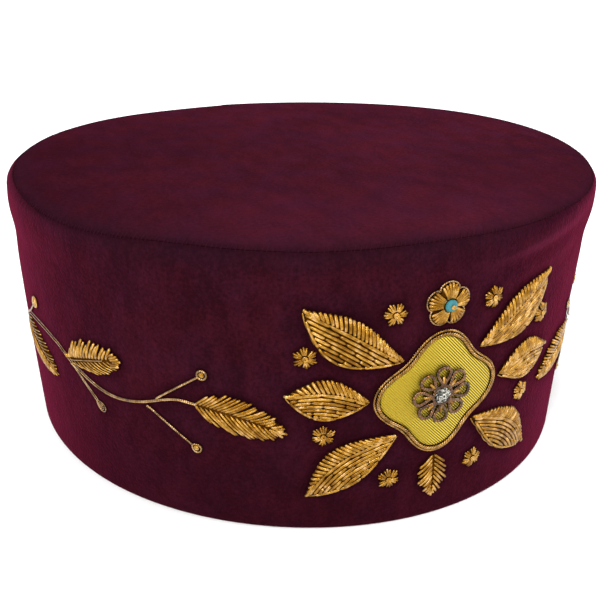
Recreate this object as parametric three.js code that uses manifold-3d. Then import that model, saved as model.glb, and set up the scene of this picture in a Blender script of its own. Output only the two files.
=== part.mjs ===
// A velvet drum cap with goldwork embroidery: a flat round top on an upright side band, a floral crest
// at the front and a leafy spray on each side. Millimetres, +Z up. It stands on its hem at z = 0 and its
// front faces -Y.
import * as THREE from "three";
import { LoftGeometry } from "three/addons/geometries/LoftGeometry.js";
import { mergeVertices } from "three/addons/utils/BufferGeometryUtils.js";
import Module from "manifold-3d";

const wasm = await Module();
wasm.setup();

// Cap
const HEM_RADIUS = 96.5;
const SEAM_RADIUS = 98.7;
const BAND_HEIGHT = 84.4;
const WALL = 2.5;
const HEM_ROUND = 0.7;
const PANEL_THICK = 2.0;
const PANEL_RISE = 0.8;
const PANEL_RINGS = 3;
const ROUND_STEPS = 4;
const SIDES_AROUND = 96;

// Clearance between neighbouring pieces, and so between the embroidery and the velvet
const GAP = 0.3;

// Wall coordinates: s is the arc from the front's middle, positive towards +X, and z is the height. The
// arc is measured on the wall's middle radius. Left and right are as seen from the front.
const WALL_RADIUS = (HEM_RADIUS + SEAM_RADIUS) / 2;

// Leaves: padded, with a groove along the midrib and a saw-tooth edge
const LEAF_SECTIONS = 12;
const LEAF_HEIGHT = 1.9;
const LEAF_EDGE = 0.35;
const LEAF_GROOVE = 0.7;
const LEAF_TOOTH = 0.13;
const LEAF_TIP = 0.35;
const LEAF_SWELL = 1.1;
const LEAF_ACROSS = [1, 0.5, 0, -0.5, -1];

// Padded forms with a lobed outline: the rings run from the back's middle round the edge and over the
// top, each with a share of the outline's radius and of the form's height
const PAD_RINGS = [
  { reach: 0.35, rise: 0 },
  { reach: 1, rise: 0.05 },
  { reach: 1, rise: 0.45 },
  { reach: 0.7, rise: 0.9 },
  { reach: 0.25, rise: 1 },
];

// Outlines, from -1 in a hollow to 1 on a lobe: a smooth wave, round petals with a cleft between them, or
// a plain round
const wavy = (lobes) => (angle) => Math.cos(lobes * angle);
const petals = (lobes) => (angle) => 2 * Math.sqrt(Math.abs(Math.cos((lobes * angle) / 2))) - 1;
const round = () => 0;

// Crest
const MEDALLION = { s: 0, z: 42, radius: 15.0, outline: wavy(4), lobeDepth: 2.0, height: 1.1, steps: 36 };
const CORD_RADIUS = 1.2;
const CORD_SIDES = 6;
const CORD_STEPS = 36;
const ROSETTE = { radius: 7.6, outline: petals(8), lobeDepth: 1.2, height: 1.2, steps: 48 };
const FLOWER = { s: 0, z: 68.4, radius: 5.0, outline: petals(5), lobeDepth: 0.9, height: 1.5, steps: 30 };
const FLOWER_EYE = { radius: 1.7, outline: round, lobeDepth: 0, height: 0.9, steps: 12 };
const BLOSSOM = { radius: 3.1, outline: petals(6), lobeDepth: 0.5, height: 1.3, steps: 24 };
const BLOSSOM_PLACES = [
  { s: 14.5, z: 67.5 },
  { s: 37.0, z: 56.5 },
  { s: 32.0, z: 32.5 },
  { s: 13.5, z: 16.5 },
];
const CREST_LEAVES = [
  { name: "upper", base: [12.0, 53.5], tip: [37.5, 69.5], width: 12.5, bow: -1.8 },
  { name: "middle", base: [20.4, 42.0], tip: [42.0, 44.5], width: 12.0, bow: 0.4 },
  { name: "lower", base: [12.0, 30.5], tip: [36.0, 12.5], width: 12.5, bow: 1.8 },
];
const PENDANT = { base: [0, 21.4], tip: [0, 8.0], width: 9.0, bow: 0 };

// Sprays: a stem with four twigs, three leaves and a berry at the end of each twig
const STEM_RADIUS = 0.65;
const STEM_STEPS = 26;
const TWIG_RADIUS = 0.45;
const TWIG_STEPS = 6;
const WIRE_SIDES = 6;
const STEM_ROUTE = [
  [67.9, 39.8],
  [72.0, 40.1],
  [76.2, 39.1],
  [79.8, 37.8],
  [84.0, 36.4],
  [89.7, 35.3],
  [95.0, 35.2],
  [100.4, 36.1],
  [106.7, 38.2],
  [112.3, 40.5],
  [117.6, 43.5],
  [121.8, 44.8],
  [126.6, 45.7],
  [132.7, 46.0],
  [139.3, 45.5],
  [144.8, 44.5],
];
const TWIGS = [
  { from: [78.6, 38.4], berry: [64.1, 49.2], bow: -0.1 },
  { from: [82.6, 36.7], berry: [67.1, 25.3], bow: -0.1 },
  { from: [111.2, 39.9], berry: [99.8, 29.7], bow: -0.2 },
  { from: [141.5, 45.2], berry: [132.3, 52.4], bow: 0.2 },
];
const BERRY_RADIUS = 1.7;
const BERRY_SQUASH = 0.6;
const BERRY_SEGMENTS = { around: 8, down: 5 };
const SPRAY_LEAVES = [
  { base: [66.8, 39.2], tip: [42.0, 33.2], width: 11.5, bow: -0.8 },
  { base: [111.0, 42.2], tip: [89.4, 47.0], width: 10.8, bow: -0.4 },
  { base: [146.0, 42.2], tip: [122.0, 32.2], width: 10.4, bow: 0.3 },
];

const SIDES = [
  { name: "left", sign: -1 },
  { name: "right", sign: 1 },
];

// Finishes
const VELVET = new THREE.MeshStandardMaterial({ color: 0x481728, roughness: 0.95, metalness: 0 });
const GOLD_BULLION = new THREE.MeshStandardMaterial({ color: 0xa77a33, roughness: 0.4, metalness: 1 });
const GOLD_CLOTH = new THREE.MeshStandardMaterial({ color: 0xb9a232, roughness: 0.5, metalness: 0.6 });
const DARK_PURL = new THREE.MeshStandardMaterial({ color: 0x5a3a22, roughness: 0.45, metalness: 0.9 });
const TEAL_SILK = new THREE.MeshStandardMaterial({ color: 0x2f7f86, roughness: 0.6, metalness: 0 });

const cap = new THREE.Group();

function addPiece(name, geometry, material) {
  const mesh = new THREE.Mesh(geometry, material);
  mesh.name = name;
  cap.add(mesh);
}

// Points of a quarter or half turn from one angle to the other, in the lathe's plane.
function arcPoints(centreX, centreY, radius, fromAngle, toAngle) {
  const points = [];
  for (let i = 0; i <= ROUND_STEPS; i++) {
    const angle = fromAngle + ((toAngle - fromAngle) * i) / ROUND_STEPS;
    points.push(new THREE.Vector2(centreX + radius * Math.cos(angle), centreY + radius * Math.sin(angle)));
  }
  return points;
}

// A profile of radius and height turned round the cap's axis.
function turned(profile) {
  return new THREE.LatheGeometry(profile, SIDES_AROUND).rotateX(Math.PI / 2);
}

function sideBand() {
  const quarter = Math.PI / 2;
  const inner = HEM_RADIUS - WALL;
  const profile = [
    ...arcPoints(HEM_RADIUS - HEM_ROUND, HEM_ROUND, HEM_ROUND, -quarter, 0),
    new THREE.Vector2(SEAM_RADIUS, BAND_HEIGHT),
    new THREE.Vector2(SEAM_RADIUS - WALL, BAND_HEIGHT),
    ...arcPoints(inner + HEM_ROUND, HEM_ROUND, HEM_ROUND, 2 * quarter, 3 * quarter),
  ];
  profile.push(profile[0].clone());
  return turned(profile);
}

// The top panel bulges a little towards its middle, and a quarter round brings its edge down to the seam.
function topPanel() {
  const bottom = BAND_HEIGHT + GAP;
  const flat = SEAM_RADIUS - PANEL_THICK;
  const bulge = (radius) => PANEL_RISE * (1 - (radius / flat) ** 2);
  const radii = [...Array(PANEL_RINGS).keys()].map((i) => (flat * i) / PANEL_RINGS);
  const under = radii.map((r) => new THREE.Vector2(r, bottom + bulge(r)));
  const over = radii.map((r) => new THREE.Vector2(r, bottom + PANEL_THICK + bulge(r)));
  const edge = arcPoints(flat, bottom, PANEL_THICK, 0, Math.PI / 2);
  return turned([...under, ...edge, ...over.reverse()]);
}

// The wall's outer radius at a height.
function wallRadius(z) {
  return HEM_RADIUS + ((SEAM_RADIUS - HEM_RADIUS) * z) / BAND_HEIGHT;
}

// Bends a piece that is drawn flat, x along the wall, y up and z out of it, round the band. On the left
// side it is mirrored, so its triangles are turned round.
function wrapOnWall(flatGeometry, sign = 1) {
  const geometry = flatGeometry.index ? flatGeometry.toNonIndexed() : flatGeometry.clone();
  const flat = geometry.getAttribute("position");
  const wrapped = new THREE.BufferAttribute(new Float32Array(flat.count * 3), 3);
  for (let i = 0; i < flat.count; i++) {
    const corner = i % 3;
    const source = sign > 0 ? i : i - corner + (2 - corner);
    const angle = (sign * flat.getX(source)) / WALL_RADIUS;
    const height = flat.getY(source);
    const radius = wallRadius(height) + flat.getZ(source);
    wrapped.setXYZ(i, radius * Math.sin(angle), -radius * Math.cos(angle), height);
  }
  return new THREE.BufferGeometry().setAttribute("position", wrapped);
}

// A padded leaf drawn flat along a bowed axis from its base to its tip. Each section runs over the top
// from one edge to the other and back underneath.
function leaf({ base, tip, width, bow }) {
  const from = new THREE.Vector2(...base);
  const to = new THREE.Vector2(...tip);
  const along = to.clone().sub(from);
  const across = new THREE.Vector2(-along.y, along.x).normalize();
  const sections = [];
  for (let i = 0; i < LEAF_SECTIONS; i++) {
    const t = i / (LEAF_SECTIONS - 1);
    const centre = from.clone().addScaledVector(along, t).addScaledVector(across, 4 * bow * t * (1 - t));
    const blade = Math.sin(Math.PI * t ** LEAF_SWELL);
    const tooth = i % 2 ? 1 + LEAF_TOOTH : 1 - LEAF_TOOTH;
    const half = LEAF_TIP + (width / 2 - LEAF_TIP) * blade * tooth;
    const crown = LEAF_EDGE + (LEAF_HEIGHT - LEAF_EDGE) * Math.sqrt(blade);
    const place = (v, height) => {
      const point = centre.clone().addScaledVector(across, v * half);
      return new THREE.Vector3(point.x, point.y, GAP + height);
    };
    const over = LEAF_ACROSS.map((v) => {
      const groove = v === 0 ? LEAF_GROOVE : 1;
      return place(v, Math.abs(v) === 1 ? LEAF_EDGE : crown * groove);
    });
    const under = [-1, 0, 1].map((v) => place(v, 0));
    sections.push([...over, ...under]);
  }
  return new LoftGeometry(sections, { capStart: true, capEnd: true });
}

function lobedRadius({ radius, outline, lobeDepth }, angle) {
  return radius + lobeDepth * outline(angle);
}

// A low padded form drawn flat, with its first lobe upwards and its back at the lift above the wall.
function lobedPad(form, s, z, lift) {
  const rings = PAD_RINGS.map(({ reach, rise }) =>
    [...Array(form.steps).keys()].map((i) => {
      const angle = (2 * Math.PI * i) / form.steps;
      const radius = reach * lobedRadius(form, angle);
      return new THREE.Vector3(
        s - radius * Math.sin(angle),
        z + radius * Math.cos(angle),
        lift + rise * form.height,
      );
    }),
  );
  return new LoftGeometry(rings, { capStart: true, capEnd: true });
}

// The medallion's rope edging: a ring whose path follows the lobed outline at a small clearance.
function medallionCord() {
  const ring = new THREE.TorusGeometry(MEDALLION.radius, CORD_RADIUS, CORD_SIDES, CORD_STEPS);
  const points = ring.getAttribute("position");
  for (let i = 0; i < points.count; i++) {
    const angle = Math.atan2(points.getY(i), points.getX(i));
    const offset = Math.hypot(points.getX(i), points.getY(i)) - MEDALLION.radius;
    const path = lobedRadius(MEDALLION, angle) + GAP + CORD_RADIUS;
    const radius = path + offset;
    points.setXYZ(
      i,
      MEDALLION.s + radius * Math.cos(angle),
      MEDALLION.z + radius * Math.sin(angle),
      points.getZ(i) + GAP + CORD_RADIUS,
    );
  }
  return ring;
}

// A round wire drawn flat along a curve through the points.
function wire(points, radius, steps) {
  const corner = (i) => {
    const angle = (2 * Math.PI * i) / WIRE_SIDES;
    return new THREE.Vector2(radius * Math.cos(angle), radius * Math.sin(angle));
  };
  const section = new THREE.Shape([...Array(WIRE_SIDES).keys()].map(corner));
  const height = GAP + STEM_RADIUS;
  const extrudePath = new THREE.CatmullRomCurve3(points.map(([s, z]) => new THREE.Vector3(s, z, height)));
  return new THREE.ExtrudeGeometry(section, { steps, extrudePath, bevelEnabled: false });
}

// A twig bows to one side and stops short of its berry.
function twig({ from, berry, bow }) {
  const start = new THREE.Vector2(...from);
  const along = new THREE.Vector2(...berry).sub(start);
  const across = new THREE.Vector2(-along.y, along.x).normalize();
  const stop = 1 - (BERRY_RADIUS + GAP) / along.length();
  const middle = start.clone().addScaledVector(along, stop / 2).addScaledVector(across, bow);
  const end = start.clone().addScaledVector(along, stop);
  return wire([start, middle, end].map((p) => [p.x, p.y]), TWIG_RADIUS, TWIG_STEPS);
}

function toSolid(geometry) {
  const bare = geometry.clone();
  bare.deleteAttribute("normal");
  bare.deleteAttribute("uv");
  const merged = mergeVertices(bare);
  const vertProperties = merged.getAttribute("position").array;
  const triVerts = new Uint32Array(merged.index.array);
  return new wasm.Manifold(new wasm.Mesh({ numProp: 3, vertProperties, triVerts }));
}

function sprayStem() {
  const main = toSolid(wire(STEM_ROUTE, STEM_RADIUS, STEM_STEPS));
  const joined = TWIGS.reduce((solid, row) => solid.add(toSolid(twig(row))), main);
  const mesh = joined.getMesh();
  const geometry = new THREE.BufferGeometry();
  geometry.setAttribute("position", new THREE.BufferAttribute(mesh.vertProperties, 3));
  return geometry.setIndex(new THREE.BufferAttribute(mesh.triVerts, 1));
}

function berryKnot({ berry: [s, z] }) {
  const knot = new THREE.SphereGeometry(BERRY_RADIUS, BERRY_SEGMENTS.around, BERRY_SEGMENTS.down);
  knot.scale(1, 1, BERRY_SQUASH);
  return knot.translate(s, z, GAP + BERRY_RADIUS * BERRY_SQUASH);
}

function addCap() {
  addPiece("side_band", sideBand(), VELVET);
  addPiece("top_panel", topPanel(), VELVET);
}

function addMedallion() {
  const { s, z } = MEDALLION;
  const rosetteLift = 2 * GAP + MEDALLION.height;
  addPiece("medallion_cloth", wrapOnWall(lobedPad(MEDALLION, s, z, GAP)), GOLD_CLOTH);
  addPiece("medallion_cord", wrapOnWall(medallionCord()), GOLD_BULLION);
  addPiece("medallion_rosette", wrapOnWall(lobedPad(ROSETTE, s, z, rosetteLift)), DARK_PURL);
}

function addCrestFlowers() {
  const { s, z, height } = FLOWER;
  addPiece("crest_flower", wrapOnWall(lobedPad(FLOWER, s, z, GAP)), GOLD_BULLION);
  addPiece("crest_flower_eye", wrapOnWall(lobedPad(FLOWER_EYE, s, z, 2 * GAP + height)), TEAL_SILK);
  SIDES.forEach(({ sign }, side) =>
    BLOSSOM_PLACES.forEach((place, i) => {
      const number = side * BLOSSOM_PLACES.length + i + 1;
      const blossom = lobedPad(BLOSSOM, place.s, place.z, GAP);
      addPiece(`crest_blossom_${number}`, wrapOnWall(blossom, sign), GOLD_BULLION);
    }),
  );
}

function addCrestLeaves() {
  for (const { name: side, sign } of SIDES)
    for (const row of CREST_LEAVES)
      addPiece(`crest_leaf_${side}_${row.name}`, wrapOnWall(leaf(row), sign), GOLD_BULLION);
  addPiece("crest_pendant", wrapOnWall(leaf(PENDANT)), GOLD_BULLION);
}

function addSprays() {
  for (const { name: side, sign } of SIDES) {
    addPiece(`spray_${side}_stem`, wrapOnWall(sprayStem(), sign), GOLD_BULLION);
    SPRAY_LEAVES.forEach((row, i) =>
      addPiece(`spray_${side}_leaf_${i + 1}`, wrapOnWall(leaf(row), sign), GOLD_BULLION),
    );
    TWIGS.forEach((row, i) =>
      addPiece(`spray_${side}_berry_${i + 1}`, wrapOnWall(berryKnot(row), sign), GOLD_BULLION),
    );
  }
}

addCap();
addMedallion();
addCrestLeaves();
addCrestFlowers();
addSprays();

export default cap;
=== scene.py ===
"""Velvet drum cap with goldwork embroidery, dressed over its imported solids."""

import logging
import math
from dataclasses import dataclass, field
from enum import Enum
from typing import Any, Sequence

import bpy
import numpy as np
from mathutils import Matrix, Vector


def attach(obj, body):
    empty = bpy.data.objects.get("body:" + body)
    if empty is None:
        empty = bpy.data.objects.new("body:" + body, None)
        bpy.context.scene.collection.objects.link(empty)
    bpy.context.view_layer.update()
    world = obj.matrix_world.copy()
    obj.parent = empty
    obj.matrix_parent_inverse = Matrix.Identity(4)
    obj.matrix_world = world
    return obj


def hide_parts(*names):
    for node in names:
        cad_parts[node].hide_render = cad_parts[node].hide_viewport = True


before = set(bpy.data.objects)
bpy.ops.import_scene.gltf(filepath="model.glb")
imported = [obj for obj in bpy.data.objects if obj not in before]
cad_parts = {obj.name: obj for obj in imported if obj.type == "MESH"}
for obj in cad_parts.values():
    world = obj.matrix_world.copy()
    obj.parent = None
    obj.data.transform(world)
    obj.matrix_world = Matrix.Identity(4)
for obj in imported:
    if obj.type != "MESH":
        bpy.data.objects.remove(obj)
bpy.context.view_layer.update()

MM = 0.001
TURN = 2 * math.pi
SIDES = (("left", -1), ("right", 1))
LOG = logging.getLogger("cap")
Array = np.ndarray
Point = tuple[float, float]
Triple = tuple[float, float, float]
Colour = Triple
Socket = bpy.types.NodeSocket
NO_TRIS = np.zeros((0, 3), dtype=np.int64)
# A wire end's crest; the wire finish paints shade where crest is low.
END_CREST = (0.3, 0.3)
WIRE_SIDES = 7
STRAND_STOPS = np.array([0.0, 0.09, 0.36, 0.64, 0.91, 1.0])
STRAND_TAPER = np.array([0.62, 1.0, 1.0, 1.0, 1.0, 0.62])


# Curves


def bell(x: Array, middle: Any, width: float) -> Array:
    """A bell curve: e to the power of minus the square of (x - middle) / width."""
    return np.exp(-(((x - middle) / width) ** 2))


def bells(x: Array, rows: Sequence[Triple]) -> Array:
    """The sum of bell curves, each given by its middle, height and width."""
    return sum(height * bell(x, middle, width) for middle, height, width in rows)


def waves(angle: Array, rows: Sequence[Triple]) -> Array:
    """The sum of waves round the cap, each given by its number and its cosine's and sine's heights."""
    return sum(a * np.cos(number * angle) + b * np.sin(number * angle) for number, a, b in rows)


def even_turns(count: int) -> Array:
    """Even angles round a full turn, in radians."""
    return TURN * np.arange(count) / count


def rays(angle: Array) -> Array:
    """Flat unit directions (cos, sin)."""
    return np.stack([np.cos(angle), np.sin(angle)], axis=-1)


def round_about(centre: Point, reach: Any, angle: Array) -> Array:
    """Flat points at a reach from a centre, at angles counted anticlockwise from straight up."""
    return np.asarray(centre) + np.stack([-reach * np.sin(angle), reach * np.cos(angle)], axis=-1)


def closed_outline(centre: Point, reach: Array) -> Array:
    """Flat points of a closed outline at even angles, with the first one repeated."""
    return round_about(centre, np.append(reach, reach[0]), TURN * np.arange(len(reach) + 1) / len(reach))


def spiral(middle: Array, first: float, growth: float, turn: Array) -> Array:
    """Flat points on a spiral, whose radius is first + growth * turn."""
    return middle + (first + growth * turn)[:, None] * rays(turn)


def on_cap(angle: Array, radius: Array, z: Array) -> Array:
    """Points at a turn from the front, a radius and a height."""
    return np.stack([radius * np.sin(angle), -radius * np.cos(angle), z + 0 * radius], axis=-1)


def unit(vectors: Array) -> Array:
    """Vectors divided by their lengths."""
    return vectors / np.linalg.norm(vectors, axis=-1, keepdims=True)


def left_of(direction: Array) -> Array:
    """Flat directions turned a quarter to the left."""
    return np.stack([-direction[..., 1], direction[..., 0]], axis=-1)


def lifted(flat: Array, height: Any) -> Array:
    """Flat points with a height as their third coordinate."""
    return np.concatenate([flat, np.broadcast_to(height, flat.shape[:-1])[..., None]], axis=-1)


def lengths(path: Array) -> Array:
    """Length along a path, or along each of several, from its start to each point."""
    step = np.linalg.norm(np.diff(path, axis=-2), axis=-1)
    return np.concatenate([np.zeros_like(step[..., :1]), np.cumsum(step, axis=-1)], axis=-1)


def evenly(path: Array, count: int) -> Array:
    """Points at even steps along a path, found by straight blends of its own points.

    Args:
        path: points of the path, shaped (n, k).
        count: number of points wanted.

    Returns:
        The new points, shaped (count, k).
    """
    length = lengths(path)
    wanted = np.linspace(0, length[-1], count)
    return np.stack([np.interp(wanted, length, column) for column in path.T], axis=-1)


def smooth_route(stops: Sequence[Point], count: int) -> Array:
    """A smooth curve through every stop: on each span, the Catmull-Rom cubic of its four stops.

    Args:
        stops: flat points that the curve passes through.
        count: number of points along it.

    Returns:
        The curve's points at even steps, shaped (count, 2).
    """
    known = np.array(stops, dtype=float)
    known = np.concatenate([2 * known[:1] - known[1:2], known, 2 * known[-1:] - known[-2:-1]])
    place = np.linspace(0, len(stops) - 1, 12 * len(stops))
    span = np.minimum(place.astype(int), len(stops) - 2)
    u = (place - span)[:, None]
    a, b, c, d = (known[span + k] for k in range(4))
    curve = b + 0.5 * u * (c - a + u * (2 * a - 5 * b + 4 * c - d + u * (3 * (b - c) + d - a)))
    return evenly(curve, count)


# Surfaces


@dataclass
class Surface:
    """Points in millimetres, their faces, and named values carried by the points."""

    points: Array
    quads: Array
    tris: Array = field(default_factory=NO_TRIS.copy)
    values: dict[str, Array] = field(default_factory=dict)

    def placed(self, points: Array) -> "Surface":
        """The same faces and values on other points."""
        return Surface(points, self.quads, self.tris, self.values)

    @staticmethod
    def join(parts: Sequence["Surface"]) -> "Surface":
        """Puts several surfaces into one.

        Args:
            parts: the surfaces; a value that one of them lacks is 0 there.

        Returns:
            One surface whose face corners are shifted to the joined list of points.
        """
        starts = np.cumsum([0] + [len(part.points) for part in parts[:-1]])
        values = {
            name: np.concatenate([part.values.get(name, np.zeros(len(part.points))) for part in parts])
            for name in sorted({key for part in parts for key in part.values})
        }
        return Surface(
            np.concatenate([part.points for part in parts]),
            np.concatenate([part.quads + start for part, start in zip(parts, starts)]),
            np.concatenate([part.tris + start for part, start in zip(parts, starts)]),
            values,
        )


def grid_quads(rows: int, columns: int, ring_rows: bool = False) -> Array:
    """Faces of a grid whose columns close into a ring.

    Face (i, j) has the corners (i, j), (i+1, j), (i+1, j+1), (i, j+1), so it points along
    the row direction crossed with the column direction.

    Args:
        rows: number of grid rows.
        columns: number of points in each row.
        ring_rows: whether the last row joins the first one too.

    Returns:
        The corner numbers, one row for each face.
    """
    i = np.arange(rows if ring_rows else rows - 1)[:, None]
    j = np.arange(columns)[None, :]
    below = (i + 1) % rows
    beside = (j + 1) % columns
    corners = [i * columns + j, below * columns + j, below * columns + beside, i * columns + beside]
    return np.stack(corners, axis=-1).reshape(-1, 4)


def end_fans(rows: int, columns: int) -> tuple[Array, Array]:
    """Fans that close a grid's first row with the point after the grid, and its last with the next one.

    Args:
        rows: number of grid rows.
        columns: number of points in each row.

    Returns:
        The corner numbers of both fans.
    """
    j = np.arange(columns)
    beside = (j + 1) % columns
    last = (rows - 1) * columns
    pole = np.full(columns, rows * columns)
    return np.stack([pole, j, beside], axis=-1), np.stack([pole + 1, last + beside, last + j], axis=-1)


def tubes(paths: Array, radii: Any, sides: int, tones: Any = 0.5) -> Surface:
    """Wires: a round profile carried along each path and closed by a fan at both ends.

    A ring's point is path + r (cos f * side + sin f * up), where side is the tangent crossed
    with the cloth's outward direction, up is side crossed with the tangent, and f starts below.

    Args:
        paths: flat points (s, z, height), shaped (wires, rings, 3).
        radii: radius of each wire, ring and side, or anything that spreads to that shape.
        sides: number of points round a ring.
        tones: light or dark share of each wire, 0 to 1.

    Returns:
        The wires as one surface with the values along, in millimetres, tone, and crest, which is
        1 on top of a wire and 0 underneath.
    """
    count, rings = paths.shape[:2]
    tangent = unit(np.gradient(paths, axis=1))
    side = unit(np.cross(tangent, np.array([0.0, 0.0, 1.0])))
    up = np.cross(side, tangent)
    turn = even_turns(sides) - 0.5 * np.pi
    outward = np.cos(turn)[:, None] * side[:, :, None] + np.sin(turn)[:, None] * up[:, :, None]
    body = paths[:, :, None] + np.broadcast_to(radii, (count, rings, sides))[..., None] * outward
    points = np.concatenate([body.reshape(count, -1, 3), paths[:, [0, -1]]], axis=1)
    length = lengths(paths)
    along = np.concatenate([np.repeat(length, sides, axis=1), length[:, [0, -1]]], axis=1)
    size = points.shape[1]
    first = (np.arange(count) * size)[:, None, None]
    quads = (grid_quads(rings, sides)[None] + first).reshape(-1, 4)
    tris = (np.concatenate(end_fans(rings, sides))[None] + first).reshape(-1, 3)
    tone = np.repeat(np.broadcast_to(tones, (count,)), size)
    # The wire finish paints shade where crest is low, under each wire and at its ends.
    crest = np.concatenate([np.tile(0.5 + 0.5 * np.sin(turn), rings), END_CREST])
    values = {"along": along.ravel(), "tone": tone, "crest": np.tile(crest, count)}
    return Surface(points.reshape(-1, 3), quads, tris, values)


def strands(
    starts: Array, ends: Array, radius: Any, heights: Array, arch: Any, tones: Any, bend: Any = 0.0
) -> Surface:
    """Short lengths of coiled wire that are sewn down at both ends.

    Each one runs straight in the cloth, plus a sideways bend * 4 u (1 - u); its height is the straight
    blend of its two end heights plus arch * sin(pi u), and its radius narrows at both ends.

    Args:
        starts: flat points (s, z) where the strands begin, shaped (strands, 2).
        ends: flat points where they end.
        radius: radius of the strands.
        heights: height of the axis at both ends, for all strands or for each, shaped (strands, 2).
        arch: extra height at the middle.
        tones: light or dark share of each strand, 0 to 1.
        bend: flat shift (s, z) of each strand's middle, shaped (strands, 2).

    Returns:
        The strands as one surface.
    """
    u = STRAND_STOPS
    flat = starts[:, None] * (1 - u)[:, None] + ends[:, None] * u[:, None]
    flat = flat + np.broadcast_to(bend, starts.shape)[:, None] * (4 * u * (1 - u))[:, None]
    near, far = np.broadcast_to(heights, starts.shape).T[..., None]
    lift = near * (1 - u) + far * u
    lift = lift + np.broadcast_to(arch, (len(starts),))[:, None] * np.sin(np.pi * u)
    thick = np.broadcast_to(radius, (len(starts),))[:, None] * STRAND_TAPER
    return tubes(lifted(flat, lift), thick[..., None], WIRE_SIDES, tones)


def disc(centre: Point, reach: Array, shares: Sequence[float], heights: Sequence[float]) -> Surface:
    """A closed cushion on the cloth: rings that follow an outline, closed by a pole above and below.

    Ring i stands at shares[i] * reach(angle) from the centre, at heights[i].

    Args:
        centre: flat point (s, z) of the middle.
        reach: outline radius at even angles, anticlockwise from straight up.
        shares: share of the outline radius of each ring, from the top pole to the bottom one.
        heights: height of each ring.

    Returns:
        The cushion as one surface with the values along, tone, crest, flat_s and flat_z.
    """
    angle = even_turns(len(reach))
    radius = np.asarray(shares)[:, None] * reach
    rings = lifted(round_about(centre, radius, angle), np.asarray(heights)[:, None])
    poles = [[*centre, heights[0]], [*centre, heights[-1]]]
    points = np.concatenate([rings.reshape(-1, 3), poles])
    values = {
        "along": np.append(angle * np.ones_like(radius), [0.0, 0.0]),
        "tone": np.full(len(points), 0.5),
        "crest": np.ones(len(points)),
        "flat_s": points[:, 0].copy(),
        "flat_z": points[:, 1].copy(),
    }
    return Surface(points, grid_quads(*radius.shape), np.concatenate(end_fans(*radius.shape)), values)


# Places on the cap


@dataclass(frozen=True)
class Wall:
    """The band's outer surface, and the way flat embroidery is wrapped on it.

    The waves, bulges, ridge and hollow are rows for waves() and bells(), in radians and millimetres.
    """

    hem_radius: float = 96.5
    seam_radius: float = 98.7
    height: float = 84.4
    mean_radius: float = 97.6
    hem_waves: tuple[Triple, ...] = (
        (0, 0.25, 0.0), (1, -0.3, -0.35), (3, 0.9, 0.0), (4, 0.25, 0.0), (5, 0.0, 0.3),
    )
    seam_waves: tuple[Triple, ...] = ((1, 0.37, 0.16), (3, -0.1, 0.0))
    middle_waves: tuple[Triple, ...] = ((1, -0.2, -0.43), (2, 0.0, -0.16))
    hem_bulge: Triple = (0.5, 0.4, 0.3)
    seam_bulge: Triple = (1.3, 0.7, 0.35)
    ridge: Triple = (78.0, 0.42, 5.5)
    hollow: Triple = (69.0, 0.36, 6.0)
    side_turn: float = 0.39
    ripple: float = 0.12
    crease_rows: tuple[Triple, ...] = (
        (5.0, -0.85, 2.6), (0.0, 1.0, 1.7), (-3.7, -0.45, 1.4), (-8.0, 0.4, 2.0),
    )
    crease_place: Point = (35.0, 78.9)
    crease_slope: float = 0.1
    crease_span: Triple = (0.42, 1.0, 0.26)

    def sway(self, angle: Array, z: Array) -> Array:
        """How far the velvet leaves a true cone.

        The hem, the seam and the middle of the band are each a little off centre and out of round, and
        the band blends from one to the next. A soft ridge runs round under the seam, with a hollow
        below it, both strongest at the sides, and a few slanted ripples lie there at the front right.

        Args:
            angle: turn from the front, in radians.
            z: height above the hem, in millimetres.

        Returns:
            The outward shift in millimetres.
        """
        up = np.clip(z / self.height, 0, 1)
        hem = waves(angle, self.hem_waves) + bells(angle, [self.hem_bulge])
        seam = waves(angle, self.seam_waves) + bells(angle, [self.seam_bulge])
        middle = waves(angle, self.middle_waves) * np.sin(np.pi * up)
        sides = 0.5 - 0.5 * np.cos(2 * (angle + self.side_turn))
        folds = (0.5 + sides) * bells(z, [self.ridge]) - sides * bells(z, [self.hollow])
        return hem * (1 - up) + seam * up + middle + folds + self.ripple * self.creases(angle, z)

    def creases(self, angle: Array, z: Array) -> Array:
        """Slanted creases at the front right: bell curves side by side, light ones up and dark ones down;
        the velvet also paints light and shade from them.

        Args:
            angle: turn from the front, in radians.
            z: height above the hem.

        Returns:
            Their height, from about -1 to 1.
        """
        s, level = self.crease_place
        across = z - level - self.crease_slope * (self.mean_radius * angle - s)
        return bells(across, self.crease_rows) * bells(angle, [self.crease_span])

    def cone(self, z: Array) -> Array:
        """Radius of the true cone from hem to seam."""
        return self.hem_radius + (self.seam_radius - self.hem_radius) * z / self.height

    def radius(self, angle: Array, z: Array) -> Array:
        """Outer radius in millimetres: the cone plus the sway."""
        return self.cone(z) + self.sway(angle, z)

    def wrap(self, surface: Surface, clear: float) -> Surface:
        """Lays flat embroidery on the band: s becomes the turn, z the height, and the rest the radius.

        Args:
            surface: points (s, z, height) in millimetres.
            clear: distance between the velvet and height 0.

        Returns:
            The same faces round the band.
        """
        s, z, lift = surface.points.T
        angle = s / self.mean_radius
        return surface.placed(on_cap(angle, self.radius(angle, z) + clear + lift, z))


# Node trees


def rgba(colour: Any) -> Any:
    """A colour with full opacity; a socket stays as it is."""
    return colour if isinstance(colour, Socket) else (*colour, 1.0)


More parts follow.
